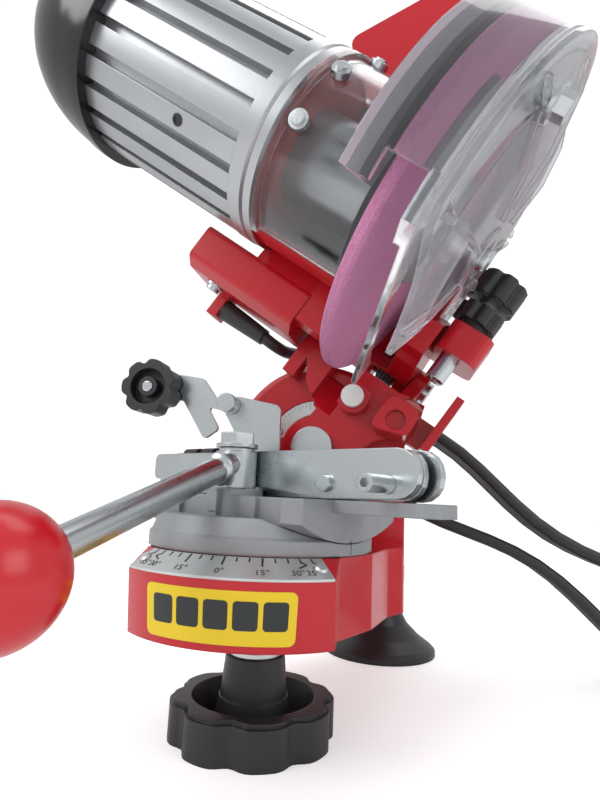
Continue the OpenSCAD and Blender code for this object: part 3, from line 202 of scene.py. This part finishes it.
lead_a = [from_head(*p) for p in [(-74, 52, 38), (-60, 52, 38), (-48, 52, 38), (-42, 54, 38), (-37, 60, 39),
                                  (-34, 68, 42), (-32, 77, 46), (-30.8, 85, 49.3)]]
lead_b = [from_head(*p) for p in [(-30.75, 85.35, 49.45), (-30.2, 88.2, 50.4), (-26.5, 91.8, 50),
                                  (-21, 94, 49), (-13, 95, 49), (-3, 95, 49), (7, 95, 48.5), (16, 95.5, 48)]]
near, far = Vector((66, 98, 108)), Vector((200, 98, 24.6))
along = (far - near).normalized()
across = Vector((-along.z, 0, along.x))
run = (far - near).length
loop_r, waist, rings, rise = 21, 12, 24, 8


def hank_point(t):
    quarter, k = int(t // 6) % 4, (t % 6) / 6
    pull = waist * (1 - math.cos(2 * math.pi * k)) / 2
    s, c = math.sin(math.pi * k), math.cos(math.pi * k)
    a, b = [(run * k, loop_r - pull), (run + loop_r * s, loop_r * c),
            (run * (1 - k), pull - loop_r), (-loop_r * s, -loop_r * c)][quarter]
    return near + along * a + across * b + Vector((0, rise * t / rings, 0))


hank = [hank_point(t / 2) for t in range(0, 2 * (3 * rings + 6) + 1)]
lead_c = [from_head(16.7, 95.54, 47.96), *[Vector(p) for p in [(48, 96.2, 139.5), (56, 97, 136),
                                                               (64, 97.6, 132.6), (71, 98, 129.3)]]]
tail = [Vector(p) for p in [(216, 124, 39), (224, 124, 32), (231, 124, 23), (238, 124, 14.5), (246, 124, 8),
                            (256, 124, 4.4), (268, 124, 3.6)]]


def cord_piece(name, route, body, *stands_for):
    """A round cord along its route, made as a curve."""
    curve = bpy.data.curves.new(name, "CURVE")
    curve.dimensions, curve.bevel_depth = "3D", cord_r * MM
    curve.bevel_resolution, curve.use_fill_caps = 3, True
    line = curve.splines.new("POLY")
    line.points.add(len(route) - 1)
    for point, place in zip(line.points, route):
        point.co = (*(place * MM), 1)
    line.use_smooth = True
    curve.materials.append(rubber)
    piece = bpy.data.objects.new(name, curve)
    bpy.context.scene.collection.objects.link(piece)
    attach(piece, body)
    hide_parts(*stands_for)
    length = sum((q - p).length for p, q in zip(route, route[1:])) * MM
    return piece, length


def smooth_route(points, steps=4):
    """More points on a smooth line through the given ones."""
    ends = [points[0] * 2 - points[1], *points, points[-1] * 2 - points[-2]]
    out = []
    for a, b, c, d in zip(ends, ends[1:], ends[2:], ends[3:]):
        for k in range(steps):
            t = k / steps
            out.append(((b * 2) + (c - a) * t + (a * 2 - b * 5 + c * 4 - d) * t * t
                        + (b * 3 - a - c * 3 + d) * t ** 3) / 2)
    return [*out, points[-1]]


swing_cord, swing_length = cord_piece("cord_at_boot", smooth_route(lead_a[1:]), "head", "cord_lead_a")
lean_cord, lean_length = cord_piece("cord_behind_bracket", smooth_route(lead_b), "tilt_bracket",
                                    "cord_lead_b")
main_route = smooth_route(lead_c) + hank + smooth_route(tail)
main_cord, main_length = cord_piece("cord_hank_and_tail", main_route, "base",
                                    "cord_lead_c", "cord_hank", "cord_tail")
paint_nodes(rubber, "cord_boot", "mains_plug", "cord_lead_a", "cord_lead_b", "cord_lead_c", "cord_hank",
            "cord_tail")

# Base casting: one hollow iron casting with a fan-shaped front, a column with a round head and a
# tail at the back, in glossy red enamel. It stands on a black rubber foot, bolted through the tail.
red_enamel = finish_of("red_enamel", (0.53, 0.007, 0.016), (0.44, 0.005, 0.012), 0.24, size=14, speckle=260,
                       depth=0.12, edge=1.2, Coat_Weight=0.3, Coat_Roughness=0.1, Specular_IOR_Level=0.35)
paint_nodes(red_enamel, "base_casting", "tilt_bracket", "head_casting")
zinc = finish_of("bright_zinc", (0.62, 0.65, 0.66), (0.46, 0.49, 0.50), 0.16, change=0.2, size=45, depth=0.06,
                 Metallic=1.0)
black_plastic = finish_of("satin_black_moulding", (0.014, 0.014, 0.016), (0.025, 0.025, 0.027), 0.34,
                          depth=0.18, edge=0.8)
paint_nodes(black_plastic, "rear_foot", "clamp_bush", "clamp_knob", "adjust_screw", "adjust_lock_knob",
            "stop_knob", "tilt_lock_knob", "depth_knob", "depth_lock_knob", "switch_rocker")
paint_nodes(zinc, "foot_bolt", "clamp_washer", "clamp_stud", "fixed_jaw", "moving_jaw", "jaw_guide_pins",
            "clamp_lever", "lever_bolt", "stop_bracket", "stop_hinge_pin", "stop_arm", "tilt_pivot_bolt",
            "pivot_shaft", "bearings", "depth_screw", "arbor_shaft", "arbor_nut", "guard_screws",
            "cover_screw", "box_screws")

# Angle scale of the vise: a polished steel strip bent to the base's cone, with black marks every
# 5 degrees and a number at 0, 15, 30 and 35. A domed rivet holds each end.
scale_metal = finish_of("brushed_scale", (0.66, 0.67, 0.67), (0.52, 0.54, 0.54), 0.3, change=0.1, size=60,
                        depth=0.03, edge=0.2, Metallic=0.75)
paint_nodes(scale_metal, "vise_scale_plate", "tilt_scale_plate", "scale_rivets", "tilt_scale_rivets")
mark_black = finish_of("mark_black", (0.01, 0.01, 0.012), (0.03, 0.03, 0.03), 0.4, depth=0.02, edge=0.05)
marks = bpy.data.node_groups.new("marks_on_a_cone", "GeometryNodeTree")
marks.interface.new_socket("Count", in_out="INPUT", socket_type="NodeSocketInt")
for socket_name in ["First Angle", "Step", "Radius", "Height", "Slope", "Length", "Width"]:
    marks.interface.new_socket(socket_name, in_out="INPUT", socket_type="NodeSocketFloat")
marks.interface.new_socket("Ink", in_out="INPUT", socket_type="NodeSocketMaterial")
marks.interface.new_socket("Geometry", in_out="OUTPUT", socket_type="NodeSocketGeometry")
m_in, m_out = marks.nodes.new("NodeGroupInput"), marks.nodes.new("NodeGroupOutput")
dots, number = marks.nodes.new("GeometryNodePoints"), marks.nodes.new("GeometryNodeInputIndex")
turn = marks.nodes.new("ShaderNodeMath")
turn.operation = "MULTIPLY_ADD"
middle = marks.nodes.new("ShaderNodeMath")
middle.operation, middle.inputs[1].default_value = "MULTIPLY", 0.5
bar, bar_size, bar_place = (marks.nodes.new("GeometryNodeMeshCube"), marks.nodes.new("ShaderNodeCombineXYZ"),
                            marks.nodes.new("ShaderNodeCombineXYZ"))
bar_size.inputs["Z"].default_value = 0.00012
shift, tip, out_to = (marks.nodes.new("GeometryNodeTransform"), marks.nodes.new("ShaderNodeCombineXYZ"),
                      marks.nodes.new("GeometryNodeTransform"))
start_place = marks.nodes.new("ShaderNodeCombineXYZ")
on_dots, spin = marks.nodes.new("GeometryNodeInstanceOnPoints"), marks.nodes.new("ShaderNodeCombineXYZ")
solid, ink = marks.nodes.new("GeometryNodeRealizeInstances"), marks.nodes.new("GeometryNodeSetMaterial")
for start, end in [
    (m_in.outputs["Count"], dots.inputs["Count"]), (number.outputs[0], turn.inputs[0]),
    (m_in.outputs["Step"], turn.inputs[1]), (m_in.outputs["First Angle"], turn.inputs[2]),
    (m_in.outputs["Length"], bar_size.inputs["X"]), (m_in.outputs["Width"], bar_size.inputs["Y"]),
    (bar_size.outputs[0], bar.inputs["Size"]), (m_in.outputs["Length"], middle.inputs[0]),
    (middle.outputs[0], bar_place.inputs["X"]), (bar.outputs["Mesh"], shift.inputs["Geometry"]),
    (bar_place.outputs[0], shift.inputs["Translation"]), (shift.outputs[0], out_to.inputs["Geometry"]),
    (m_in.outputs["Slope"], tip.inputs["Y"]), (tip.outputs[0], out_to.inputs["Rotation"]),
    (m_in.outputs["Radius"], start_place.inputs["X"]), (m_in.outputs["Height"], start_place.inputs["Z"]),
    (start_place.outputs[0], out_to.inputs["Translation"]), (dots.outputs[0], on_dots.inputs["Points"]),
    (out_to.outputs[0], on_dots.inputs["Instance"]), (turn.outputs[0], spin.inputs["Z"]),
    (spin.outputs[0], on_dots.inputs["Rotation"]), (on_dots.outputs[0], solid.inputs[0]),
    (solid.outputs[0], ink.inputs["Geometry"]), (m_in.outputs["Ink"], ink.inputs["Material"]),
    (ink.outputs[0], m_out.inputs[0]),
]:
    link(marks, start, end)


def grown(name, tree, **values):
    """The mesh that a Geometry Nodes tree makes with these inputs, by the socket's name here."""
    seed = bpy.data.objects.new(name, bpy.data.meshes.new(name + "_seed"))
    bpy.context.scene.collection.objects.link(seed)
    step = seed.modifiers.new("tree", "NODES")
    step.node_group = tree
    for item in tree.interface.items_tree:
        key = item.name.replace(" ", "_")
        if item.item_type == "SOCKET" and item.in_out == "INPUT" and key in values:
            step[item.identifier] = values[key]
    made = bpy.data.meshes.new_from_object(seed.evaluated_get(bpy.context.evaluated_depsgraph_get()))
    made.name = name
    bpy.data.objects.remove(seed)
    return made


def on_one(name, body, paint, *meshes):
    """One piece of several meshes in one finish, riding on a body."""
    whole = bmesh.new()
    for mesh in meshes:
        whole.from_mesh(mesh)
    for face in whole.faces:
        face.material_index = 0
    together = bpy.data.meshes.new(name)
    whole.to_mesh(together)
    whole.free()
    together.materials.append(paint)
    return keep(name, together, body)


plate_r, plate_low_r, plate_top, plate_drop = 46, 54.6, 70, 5.4
mark_r, bar_low = 50, 0.17
slope = math.atan2(plate_drop, plate_low_r - plate_r)


def on_cone(angle, distance, lift=0.08):
    """The point on the scale plate at an angle and a distance down its slope, in mm."""
    r = plate_r + distance * math.cos(slope) + lift * math.sin(slope)
    z = plate_top - distance * math.sin(slope) + lift * math.cos(slope)
    return Vector((r * math.cos(angle), r * math.sin(angle), z)) * MM


on_plate = {"Radius": (plate_r + 0.3) * MM, "Height": (plate_top - bar_low) * MM, "Slope": slope,
            "Ink": mark_black}
minor = grown("minor_marks", marks, Count=15, First_Angle=math.radians(-125), Step=math.radians(5),
              Length=2.1 * MM, Width=0.55 * MM, **on_plate)
major = grown("major_marks", marks, Count=3, First_Angle=math.radians(-105), Step=math.radians(15),
              Length=4.0 * MM, Width=0.65 * MM, **on_plate)


def stroke(points, width, place, lift=0.1):
    """A flat line of some width through points on a face that place() lays out."""
    built = bmesh.new()
    for (a0, d0), (a1, d1) in zip(points, points[1:]):
        side = Vector((d1 - d0, -(a1 - a0))).normalized() * width / 2
        quad = [(a0 + side.x, d0 + side.y), (a1 + side.x, d1 + side.y), (a1 - side.x, d1 - side.y),
                (a0 - side.x, d0 - side.y)]
        built.faces.new([built.verts.new(place(u, v, lift)) for u, v in quad])
    bmesh.ops.recalc_face_normals(built, faces=built.faces)
    flat = bpy.data.meshes.new("stroke")
    built.to_mesh(flat)
    built.free()
    flat.materials.append(mark_black)
    return flat


def cone_mm(u, v, lift):
    """u in mm along the plate's arc from its middle, v in mm down its slope."""
    return on_cone(math.radians(-90) + u / mark_r, v, lift)


def numeral(word, size, place, u, v):
    """Generic scale numbers as a flat mesh, laid on a face by place(u, v, lift)."""
    letters = bpy.data.curves.new("numeral", "FONT")
    letters.body, letters.size, letters.align_x = word, size, "CENTER"
    letters.extrude = 0.0
    typed = bpy.data.objects.new("numeral", letters)
    bpy.context.scene.collection.objects.link(typed)
    flat = bpy.data.meshes.new_from_object(typed.evaluated_get(bpy.context.evaluated_depsgraph_get()))
    bpy.data.objects.remove(typed)
    for vertex in flat.vertices:
        vertex.co = place(u + vertex.co.x, v - vertex.co.y, 0.1)
    flat.materials.clear()
    flat.materials.append(mark_black)
    return flat


words, kinks = [numeral("0°", 3.4, cone_mm, 0, 8.3)], []
for side in (-1, 1):
    for word, angle in [("15°", 15), ("30°", 27.6), ("35°", 33.2)]:
        words.append(numeral(word, 3.4, cone_mm, side * mark_r * math.radians(angle), 8.3))
    for start, end in [(30, 28.5), (35, 34)]:
        bend = [(start, 2), (start + 2, 3.4), (end, 4.9)]
        kinks.append(stroke([(side * mark_r * math.radians(a), down) for a, down in bend], 0.55, cone_mm))
on_one("vise_scale_marks", "base", mark_black, minor, major, *words, *kinks)

# Label on the base's front: a sheet of yellow vinyl with rounded corners, stuck round the skirt.
# It carries five plain dark squares in a row.
label_yellow = finish_of("yellow_vinyl", (0.80, 0.58, 0.008), (0.74, 0.52, 0.006), 0.35, size=25,
                         depth=0.05, edge=0.1)
label_dark = finish_of("dark_print", (0.012, 0.016, 0.016), (0.02, 0.024, 0.024), 0.35, depth=0.03, edge=0.1)
skirt_low, skirt_high, skirt_z0, skirt_z1, skirt_mid = 52.3, 54.6, 42.4, 63.8, 53.5


def on_skirt(angle, z, lift):
    r = skirt_low + (skirt_high - skirt_low) * (z - skirt_z0) / (skirt_z1 - skirt_z0) + lift
    return Vector((r * math.cos(angle), r * math.sin(angle), z)) * MM


def rounded_patch(name, middle_angle, z0, z1, half_width, corner, lift, paint):
    """A thin rounded rectangle wrapped on the skirt. half_width and corner are in mm."""
    built, columns = bmesh.new(), []
    count = max(8, int(half_width))
    for i in range(2 * count + 1):
        s = math.sin(math.pi / 2 * (i - count) / count) * half_width
        inset = max(0.0, abs(s) - (half_width - corner))
        trim = corner - math.sqrt(max(0.0, corner ** 2 - inset ** 2))
        angle, heights = middle_angle + s / skirt_mid, (z0 + trim, (z0 + z1) / 2, z1 - trim)
        columns.append([built.verts.new(on_skirt(angle, z, lift)) for z in heights])
    for a, b in zip(columns, columns[1:]):
        for k in range(2):
            built.faces.new([a[k], b[k], b[k + 1], a[k + 1]])
    bmesh.ops.remove_doubles(built, verts=built.verts, dist=1e-6)
    flat = bpy.data.meshes.new(name)
    built.to_mesh(flat)
    built.free()
    flat.materials.append(paint)
    piece = keep(name, flat, "base")
    wall = piece.modifiers.new("film", "SOLIDIFY")
    wall.thickness, wall.offset = 0.1 * MM, -1
    return piece


rounded_patch("front_label", math.radians(-90.2), 44.7, 60.9, 25.6, 2.2, 0.12, label_yellow)
for i in range(5):
    rounded_patch(f"label_square_{i}", math.radians(-109.8 + 10 * i), 49.2, 57.9, 3.9, 1.2, 0.2, label_dark)

# The clamp knob, its bush and its washer under the base are the CAD's own forms, as are the foot and
# its bolt: moulded black plastic and rubber, and zinc-plated steel, in the finishes given above.

# Turntable and vise: blasted aluminium castings with machined tops. Two dark index lines are cut in
# the turntable's rim, at the sides of the vise.
blasted = finish_of("blasted_aluminium", (0.36, 0.37, 0.38), (0.27, 0.28, 0.29), 0.5, size=60, speckle=1800,
                    depth=0.5, edge=0.8, Metallic=0.6)
paint_nodes(blasted, "turntable", "vise_block", "inner_flange", "outer_flange")
vise_turn = math.radians(-30)
rail_way = Vector((math.cos(vise_turn), math.sin(vise_turn), 0))
cross_way = Vector((-math.sin(vise_turn), math.cos(vise_turn), 0))


def in_vise(d, off, z):
    """A point along and across the vise's rail, in mm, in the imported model's frame."""
    return (rail_way * d + cross_way * off + Vector((0, 0, z))) * MM


def bar_between(p, q, width, depth):
    """A flat bar from p to q, in metres."""
    way = (q - p).normalized()
    side = way.cross(Vector((0, 0, 1)))
    side = side.normalized() if side.length > 0.1 else Vector((1, 0, 0))
    face = side.cross(way)
    built = bmesh.new()
    bmesh.ops.create_cube(built, size=1.0)
    bmesh.ops.transform(built, verts=built.verts, matrix=Matrix.Translation((p + q) / 2) @ Matrix(
        (side * width, face * depth, way * (q - p).length)).transposed().to_4x4())
    bmesh.ops.recalc_face_normals(built, faces=built.faces)
    made = bpy.data.meshes.new("bar")
    built.to_mesh(made)
    built.free()
    made.materials.append(mark_black)
    return made


rim_r, line_foot, line_head = 44.15, 70.4, 75.0
on_one("index_lines", "turntable", mark_black,
       *[bar_between(in_vise(s * rim_r, 0, line_foot), in_vise(s * rim_r, 0, line_head), 0.35 * MM, 0.2 * MM)
         for s in (-1, 1)])

# Lever: a zinc-plated rod welded to its hub, with a bead of weld round the joint. A glossy red
# plastic ball is screwed on its end.
red_ball = finish_of("glossy_red_ball", (0.58, 0.007, 0.014), (0.52, 0.005, 0.011), 0.26, change=0.05,
                     depth=0.01, edge=0.3, Coat_Weight=0.15, Coat_Roughness=0.2)
paint_nodes(red_ball, "lever_ball")
lever_start, ball_place = Vector((-9, -20, 101)), Vector((-31, -112, 70))
lever_way = (ball_place - lever_start).normalized()


def round_body(name, profile, centre, axis, paint, body, sides=96, *stands_for):
    """A turned piece: profile is [radius, distance along the axis] in mm, from pole to pole or closed."""
    axis = axis.normalized()
    first = axis.orthogonal().normalized()
    second = axis.cross(first)
    built, loops = bmesh.new(), []
    for r, t in profile:
        here = centre + axis * t
        if r < 1e-6:
            loops.append([built.verts.new(here * MM)])
        else:
            turns = [2 * math.pi * k / sides for k in range(sides)]
            loops.append([built.verts.new((here + (first * math.cos(a) + second * math.sin(a)) * r) * MM)
                          for a in turns])
    closed = profile[0] == profile[-1]
    pairs = list(zip(loops, loops[1:])) if not closed else list(zip(loops[:-1], [*loops[1:-1], loops[0]]))
    for a, b in pairs:
        for k in range(sides):
            ring = [a[k % len(a)], a[(k + 1) % len(a)], b[(k + 1) % len(b)], b[k % len(b)]]
            corners = list(dict.fromkeys(ring))
            if len(corners) > 2:
                built.faces.new(corners)
    bmesh.ops.recalc_face_normals(built, faces=built.faces)
    for face in built.faces:
        face.smooth = True
    turned = bpy.data.meshes.new(name)
    built.to_mesh(turned)
    built.free()
    turned.materials.append(paint)
    turned.set_sharp_from_angle(angle=math.radians(32))
    piece = keep(name, turned, body)
    if stands_for:
        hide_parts(*stands_for)
    return piece


bead = [(4.6, 6.0), (5.6, 6.4), (6.3, 7.3), (6.4, 8.2), (5.8, 9.1), (5.0, 9.6), (4.6, 9.8)]
round_body("weld_bead", bead, lever_start, lever_way, zinc, "lever", 40)

# Chain stop's knob: a lobed black moulding on a zinc-plated screw, whose end shows in the middle of
# the dished face.
screw_end = [(0.0, 0.0), (2.0, 0.0), (2.6, 0.5), (2.6, 1.4), (0.0, 1.4)]
stop_knob_face = Vector((-60, 7.0, 137))
round_body("stop_screw_end", screw_end, stop_knob_face, Vector((0, 1, 0)), zinc, "stop_knob", 40)

# Slot bolt: it clamps the leaning bracket to the column through a curved slot. A white nylon cap
# covers its head in front of the bracket.
white_cap = finish_of("white_nylon", (0.72, 0.72, 0.70), (0.62, 0.62, 0.60), 0.4, depth=0.05, edge=0.6)
paint_nodes(white_cap, "slot_bolt")

# Tilt scale on the column: a curved steel plate riveted beside the bracket. Its marks stand every
# 5 degrees round the tilt axis, which lies along Y.
tilt_axis = Vector((12, 58, chain_z))


def on_column(angle, r, lift=0.08):
    """A point on the tilt scale, by its angle from the head's upright, positive to the left."""
    a = lean - angle
    return (tilt_axis + Vector((math.sin(a), 0, math.cos(a))) * r - Vector((0, lift, 0))) * MM


tilt_marks = []
for i in range(18):
    a = math.radians(10 + 5 * i)
    reach = 3.4 if i % 3 == 1 else 2.0
    p, q = on_column(a, 25.0), on_column(a, 25.0 - reach)
    tilt_marks.append(bar_between(p, q, 0.45 * MM, 0.1 * MM))
on_one("tilt_scale_marks", "base", mark_black, *tilt_marks)

# Inner parts of the head: a wound steel spring that lifts it, the motor's rotor of oiled sheet steel
# and its stator of enamelled copper wire.
spring_steel = finish_of("oiled_spring_steel", (0.2, 0.2, 0.21), (0.12, 0.12, 0.13), 0.35, Metallic=1.0)
paint_nodes(spring_steel, "return_spring", "rotor")
copper = finish_of("enamelled_copper", (0.45, 0.16, 0.05), (0.3, 0.1, 0.03), 0.35, Metallic=0.9)
paint_nodes(copper, "stator")

# Motor: an extruded aluminium housing with broad flat fins, lacquered silver, between a plain front
# ring and a glossy black domed cap.
silver_lacquer = finish_of("silver_lacquer", (0.50, 0.51, 0.52), (0.40, 0.41, 0.42), 0.3, size=40, depth=0.06,
                           edge=0.5, Metallic=0.85)
paint_nodes(silver_lacquer, "motor_ring", "motor_housing")
shaft_way = Vector((math.cos(lean), 0, -math.sin(lean)))
shaft_at = from_head(0, 2.5, 113)
spigot = [(44.7, -64.9), (45.6, -64.9), (45.6, -61.0), (44.7, -61.0), (44.7, -64.9)]
round_body("motor_spigot", spigot, shaft_at, shaft_way, silver_lacquer, "head", 128)
# A small socket screw sits on the fin that faces the user, near the middle of the housing.
fin_angle, screw_n = math.radians(-40.9), -104
screw_way = from_head(0, -math.cos(fin_angle), math.sin(fin_angle)) - from_head(0, 0, 0)
socket = [(0.0, 45.55), (1.5, 45.55), (1.5, 45.9), (2.4, 45.9), (2.6, 45.75), (2.6, 45.4), (0.0, 45.4)]
round_body("housing_screw", socket, shaft_at + shaft_way * screw_n, screw_way, mark_black, "head", 32)
cap_gloss = finish_of("black_gloss_cap", (0.006, 0.006, 0.008), (0.012, 0.012, 0.014), 0.14, change=0.06,
                      depth=0.03, edge=1.0)


def quarter_round(flat_r, reach, start, depth, angles):
    """Points of a domed wall: a quarter ellipse outside a flat middle, by angle in degrees."""
    turns = [math.radians(a) for a in angles]
    return [(flat_r + reach * math.cos(a), start - depth * math.sin(a)) for a in turns]


dome = quarter_round(20, 29, -168, 47, range(6, 91, 4))
inside = quarter_round(17, 28, -166, 43, range(90, 5, -6))
cap = [(0.0, -215), *dome[::-1], (50, -166), (50, -160), (41, -160), (41, -166), *inside[::-1], (0.0, -211)]
round_body("end_cap_dome", cap, shaft_at, shaft_way, cap_gloss, "head", 128, "end_cap")
nodes["end_cap"].data.materials.clear()
nodes["end_cap"].data.materials.append(cap_gloss)

# Grinding wheel: pink ceramic grit, pressed and fired in one piece, coarse to the touch, with
# brighter and darker grains.
grit = finish_of("pink_grit", (0.42, 0.12, 0.26), (0.62, 0.28, 0.45), 0.85, size=900, speckle=1500,
                 depth=0.9, edge=0.3)
paint_nodes(grit, "grinding_wheel")

# Guards: the neck's shroud, the wheel's guard and the side cover are mouldings of clear
# polycarbonate with polished edges, screwed to the head casting.
clear = bpy.data.materials.new("clear_polycarbonate")
clear.use_nodes = True
clear_tree = clear.node_tree
clear_shader = clear_tree.nodes["Principled BSDF"]
clear_shader.inputs["Base Color"].default_value = (0.92, 0.94, 0.95, 1)
clear_shader.inputs["Transmission Weight"].default_value = 1.0
clear_shader.inputs["IOR"].default_value = 1.52
clear_surface = clear_tree.nodes.new("ShaderNodeGroup")
clear_surface.node_tree = grain
for socket_name, value in [("Cloud Size", 12), ("Grain Size", 160), ("Grain Depth", 0.05),
                           ("Roughness", 0.03), ("Roughness Change", 0.05), ("Edge Radius", 0.8 * MM)]:
    clear_surface.inputs[socket_name].default_value = value
clear_surface.inputs["Colour"].default_value = (0.95, 0.97, 0.98, 1)
clear_surface.inputs["Tone"].default_value = (0.90, 0.93, 0.95, 1)
link(clear_tree, clear_surface.outputs["Colour"], clear_shader.inputs["Base Color"])
link(clear_tree, clear_surface.outputs["Roughness"], clear_shader.inputs["Roughness"])
link(clear_tree, clear_surface.outputs["Normal"], clear_shader.inputs["Normal"])
# Thick edges and steep walls look milky, as moulded polycarbonate does.
glance = clear_tree.nodes.new("ShaderNodeLayerWeight")
milk = clear_tree.nodes.new("ShaderNodeBsdfTranslucent")
glance.inputs["Blend"].default_value = 0.26
milk.inputs["Color"].default_value = (0.93, 0.95, 0.97, 1)
share, milky = clear_tree.nodes.new("ShaderNodeMath"), clear_tree.nodes.new("ShaderNodeMixShader")
share.operation, share.inputs[1].default_value = "MULTIPLY", 0.42
link(clear_tree, glance.outputs["Facing"], share.inputs[0])
link(clear_tree, share.outputs[0], milky.inputs["Fac"])
link(clear_tree, clear_shader.outputs["BSDF"], milky.inputs[1])
link(clear_tree, milk.outputs["BSDF"], milky.inputs[2])
link(clear_tree, milky.outputs["Shader"], clear_tree.nodes["Material Output"].inputs["Surface"])
paint_nodes(clear, "neck_shroud", "wheel_guard", "side_cover")

# Wheel guard: on the motor's side the moulding ends soon after the rim, so a copy of the CAD's form is
# cut there and closed again.
short_end, guard_mesh = math.radians(-22), bmesh.new()
end_normal = from_head(0, math.sin(short_end), math.cos(short_end)) - from_head(0, 0, 0)
guard_mesh.from_mesh(nodes["wheel_guard"].data)
guard_mesh.transform(nodes["wheel_guard"].matrix_world)
bmesh.ops.bisect_plane(guard_mesh, geom=[*guard_mesh.verts, *guard_mesh.edges, *guard_mesh.faces], dist=1e-7,
                       plane_co=shaft_at * MM, plane_no=end_normal)
below = [face for face in guard_mesh.faces
         if (face.calc_center_median() - shaft_at * MM).dot(end_normal) < 0
         and (face.calc_center_median() - shaft_at * MM).dot(shaft_way) < 5 * MM]
bmesh.ops.delete(guard_mesh, geom=below, context="FACES")
bmesh.ops.holes_fill(guard_mesh, edges=[edge for edge in guard_mesh.edges if edge.is_boundary], sides=0)
bmesh.ops.recalc_face_normals(guard_mesh, faces=guard_mesh.faces)
guard_cut = bpy.data.meshes.new("wheel_guard_moulding")
guard_mesh.to_mesh(guard_cut)
guard_mesh.free()
guard_cut.materials.clear()
guard_cut.materials.append(clear)
guard_piece = keep("wheel_guard_moulding", guard_cut, "head")
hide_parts("wheel_guard")

# Inside of the neck and of the wheel's chamber: the bearing tube and the neck are bare grey metal, and the
# faces beside the wheel are near-black, partly their own dark paint and partly painted shade over the red
# casting. Thin linings stand 0.1 mm off the casting.
# Near-black lining finish: partly dark paint, partly painted shade inside the neck and the wheel's chamber.
dark_paint_and_painted_shade = finish_of("dark_chamber_paint", (0.02, 0.022, 0.025), (0.035, 0.038, 0.042), 0.45,
                       depth=0.1, edge=0.2)
bare_grey = finish_of("bare_grey_metal", (0.34, 0.35, 0.36), (0.22, 0.23, 0.24), 0.25, size=20,
                      depth=0.05, edge=0.2, Metallic=0.9)


def shaft_lining(name, profile, start, end, paint, steps=60):
    """A closed profile of [radius, place along the shaft] in mm, turned from start to end; 0 is the front."""
    built, loops = bmesh.new(), []
    for k in range(steps + 1):
        a = math.radians(start + (end - start) * k / steps)
        out = from_head(0, -math.cos(a), math.sin(a)) - from_head(0, 0, 0)
        loops.append([built.verts.new((shaft_at + shaft_way * n + out * r) * MM) for r, n in profile])
    for a, b in zip(loops, loops[1:]):
        for i in range(len(profile)):
            j = (i + 1) % len(profile)
            built.faces.new([a[i], a[j], b[j], b[i]])
    built.faces.new(loops[0])
    built.faces.new(loops[-1])
    bmesh.ops.recalc_face_normals(built, faces=built.faces)
    for face in built.faces:
        face.smooth = True
    lined = bpy.data.meshes.new(name)
    built.to_mesh(lined)
    built.free()
    lined.materials.append(paint)
    lined.set_sharp_from_angle(angle=math.radians(32))
    return keep(name, lined, "head")


sleeve = [(22.3, -61.3), (22.5, -61.3), (22.5, -15.0), (22.3, -15.0), (22.3, -61.3)]
round_body("bearing_sleeve", sleeve, shaft_at, shaft_way, bare_grey, "head", 96)
web_ring = [(22.6, -15.0), (22.6, -14.7), (39.1, -14.7), (39.1, -15.0), (22.6, -15.0)]
round_body("neck_end_lining", web_ring, shaft_at, shaft_way, dark_paint_and_painted_shade, "head", 96)
disc_face = [(26.0, -9.95), (26.0, -9.75), (44.2, -9.75), (44.2, -14.4), (44.05, -14.4), (44.05, -9.95),
             (26.0, -9.95)]
round_body("disc_lining", disc_face, shaft_at, shaft_way, dark_paint_and_painted_shade, "head", 128)
shaft_lining("neck_lining", [(39.1, -61.2), (39.4, -61.2), (39.4, -15.1), (39.1, -15.1)], 100, 280, bare_grey)
chamber = [(45.0, -10.4), (77.9, -10.4), (77.9, 14.3), (77.6, 14.3), (77.6, -10.1), (45.0, -10.1)]
shaft_lining("chamber_lining", chamber, 63, 214, dark_paint_and_painted_shade)
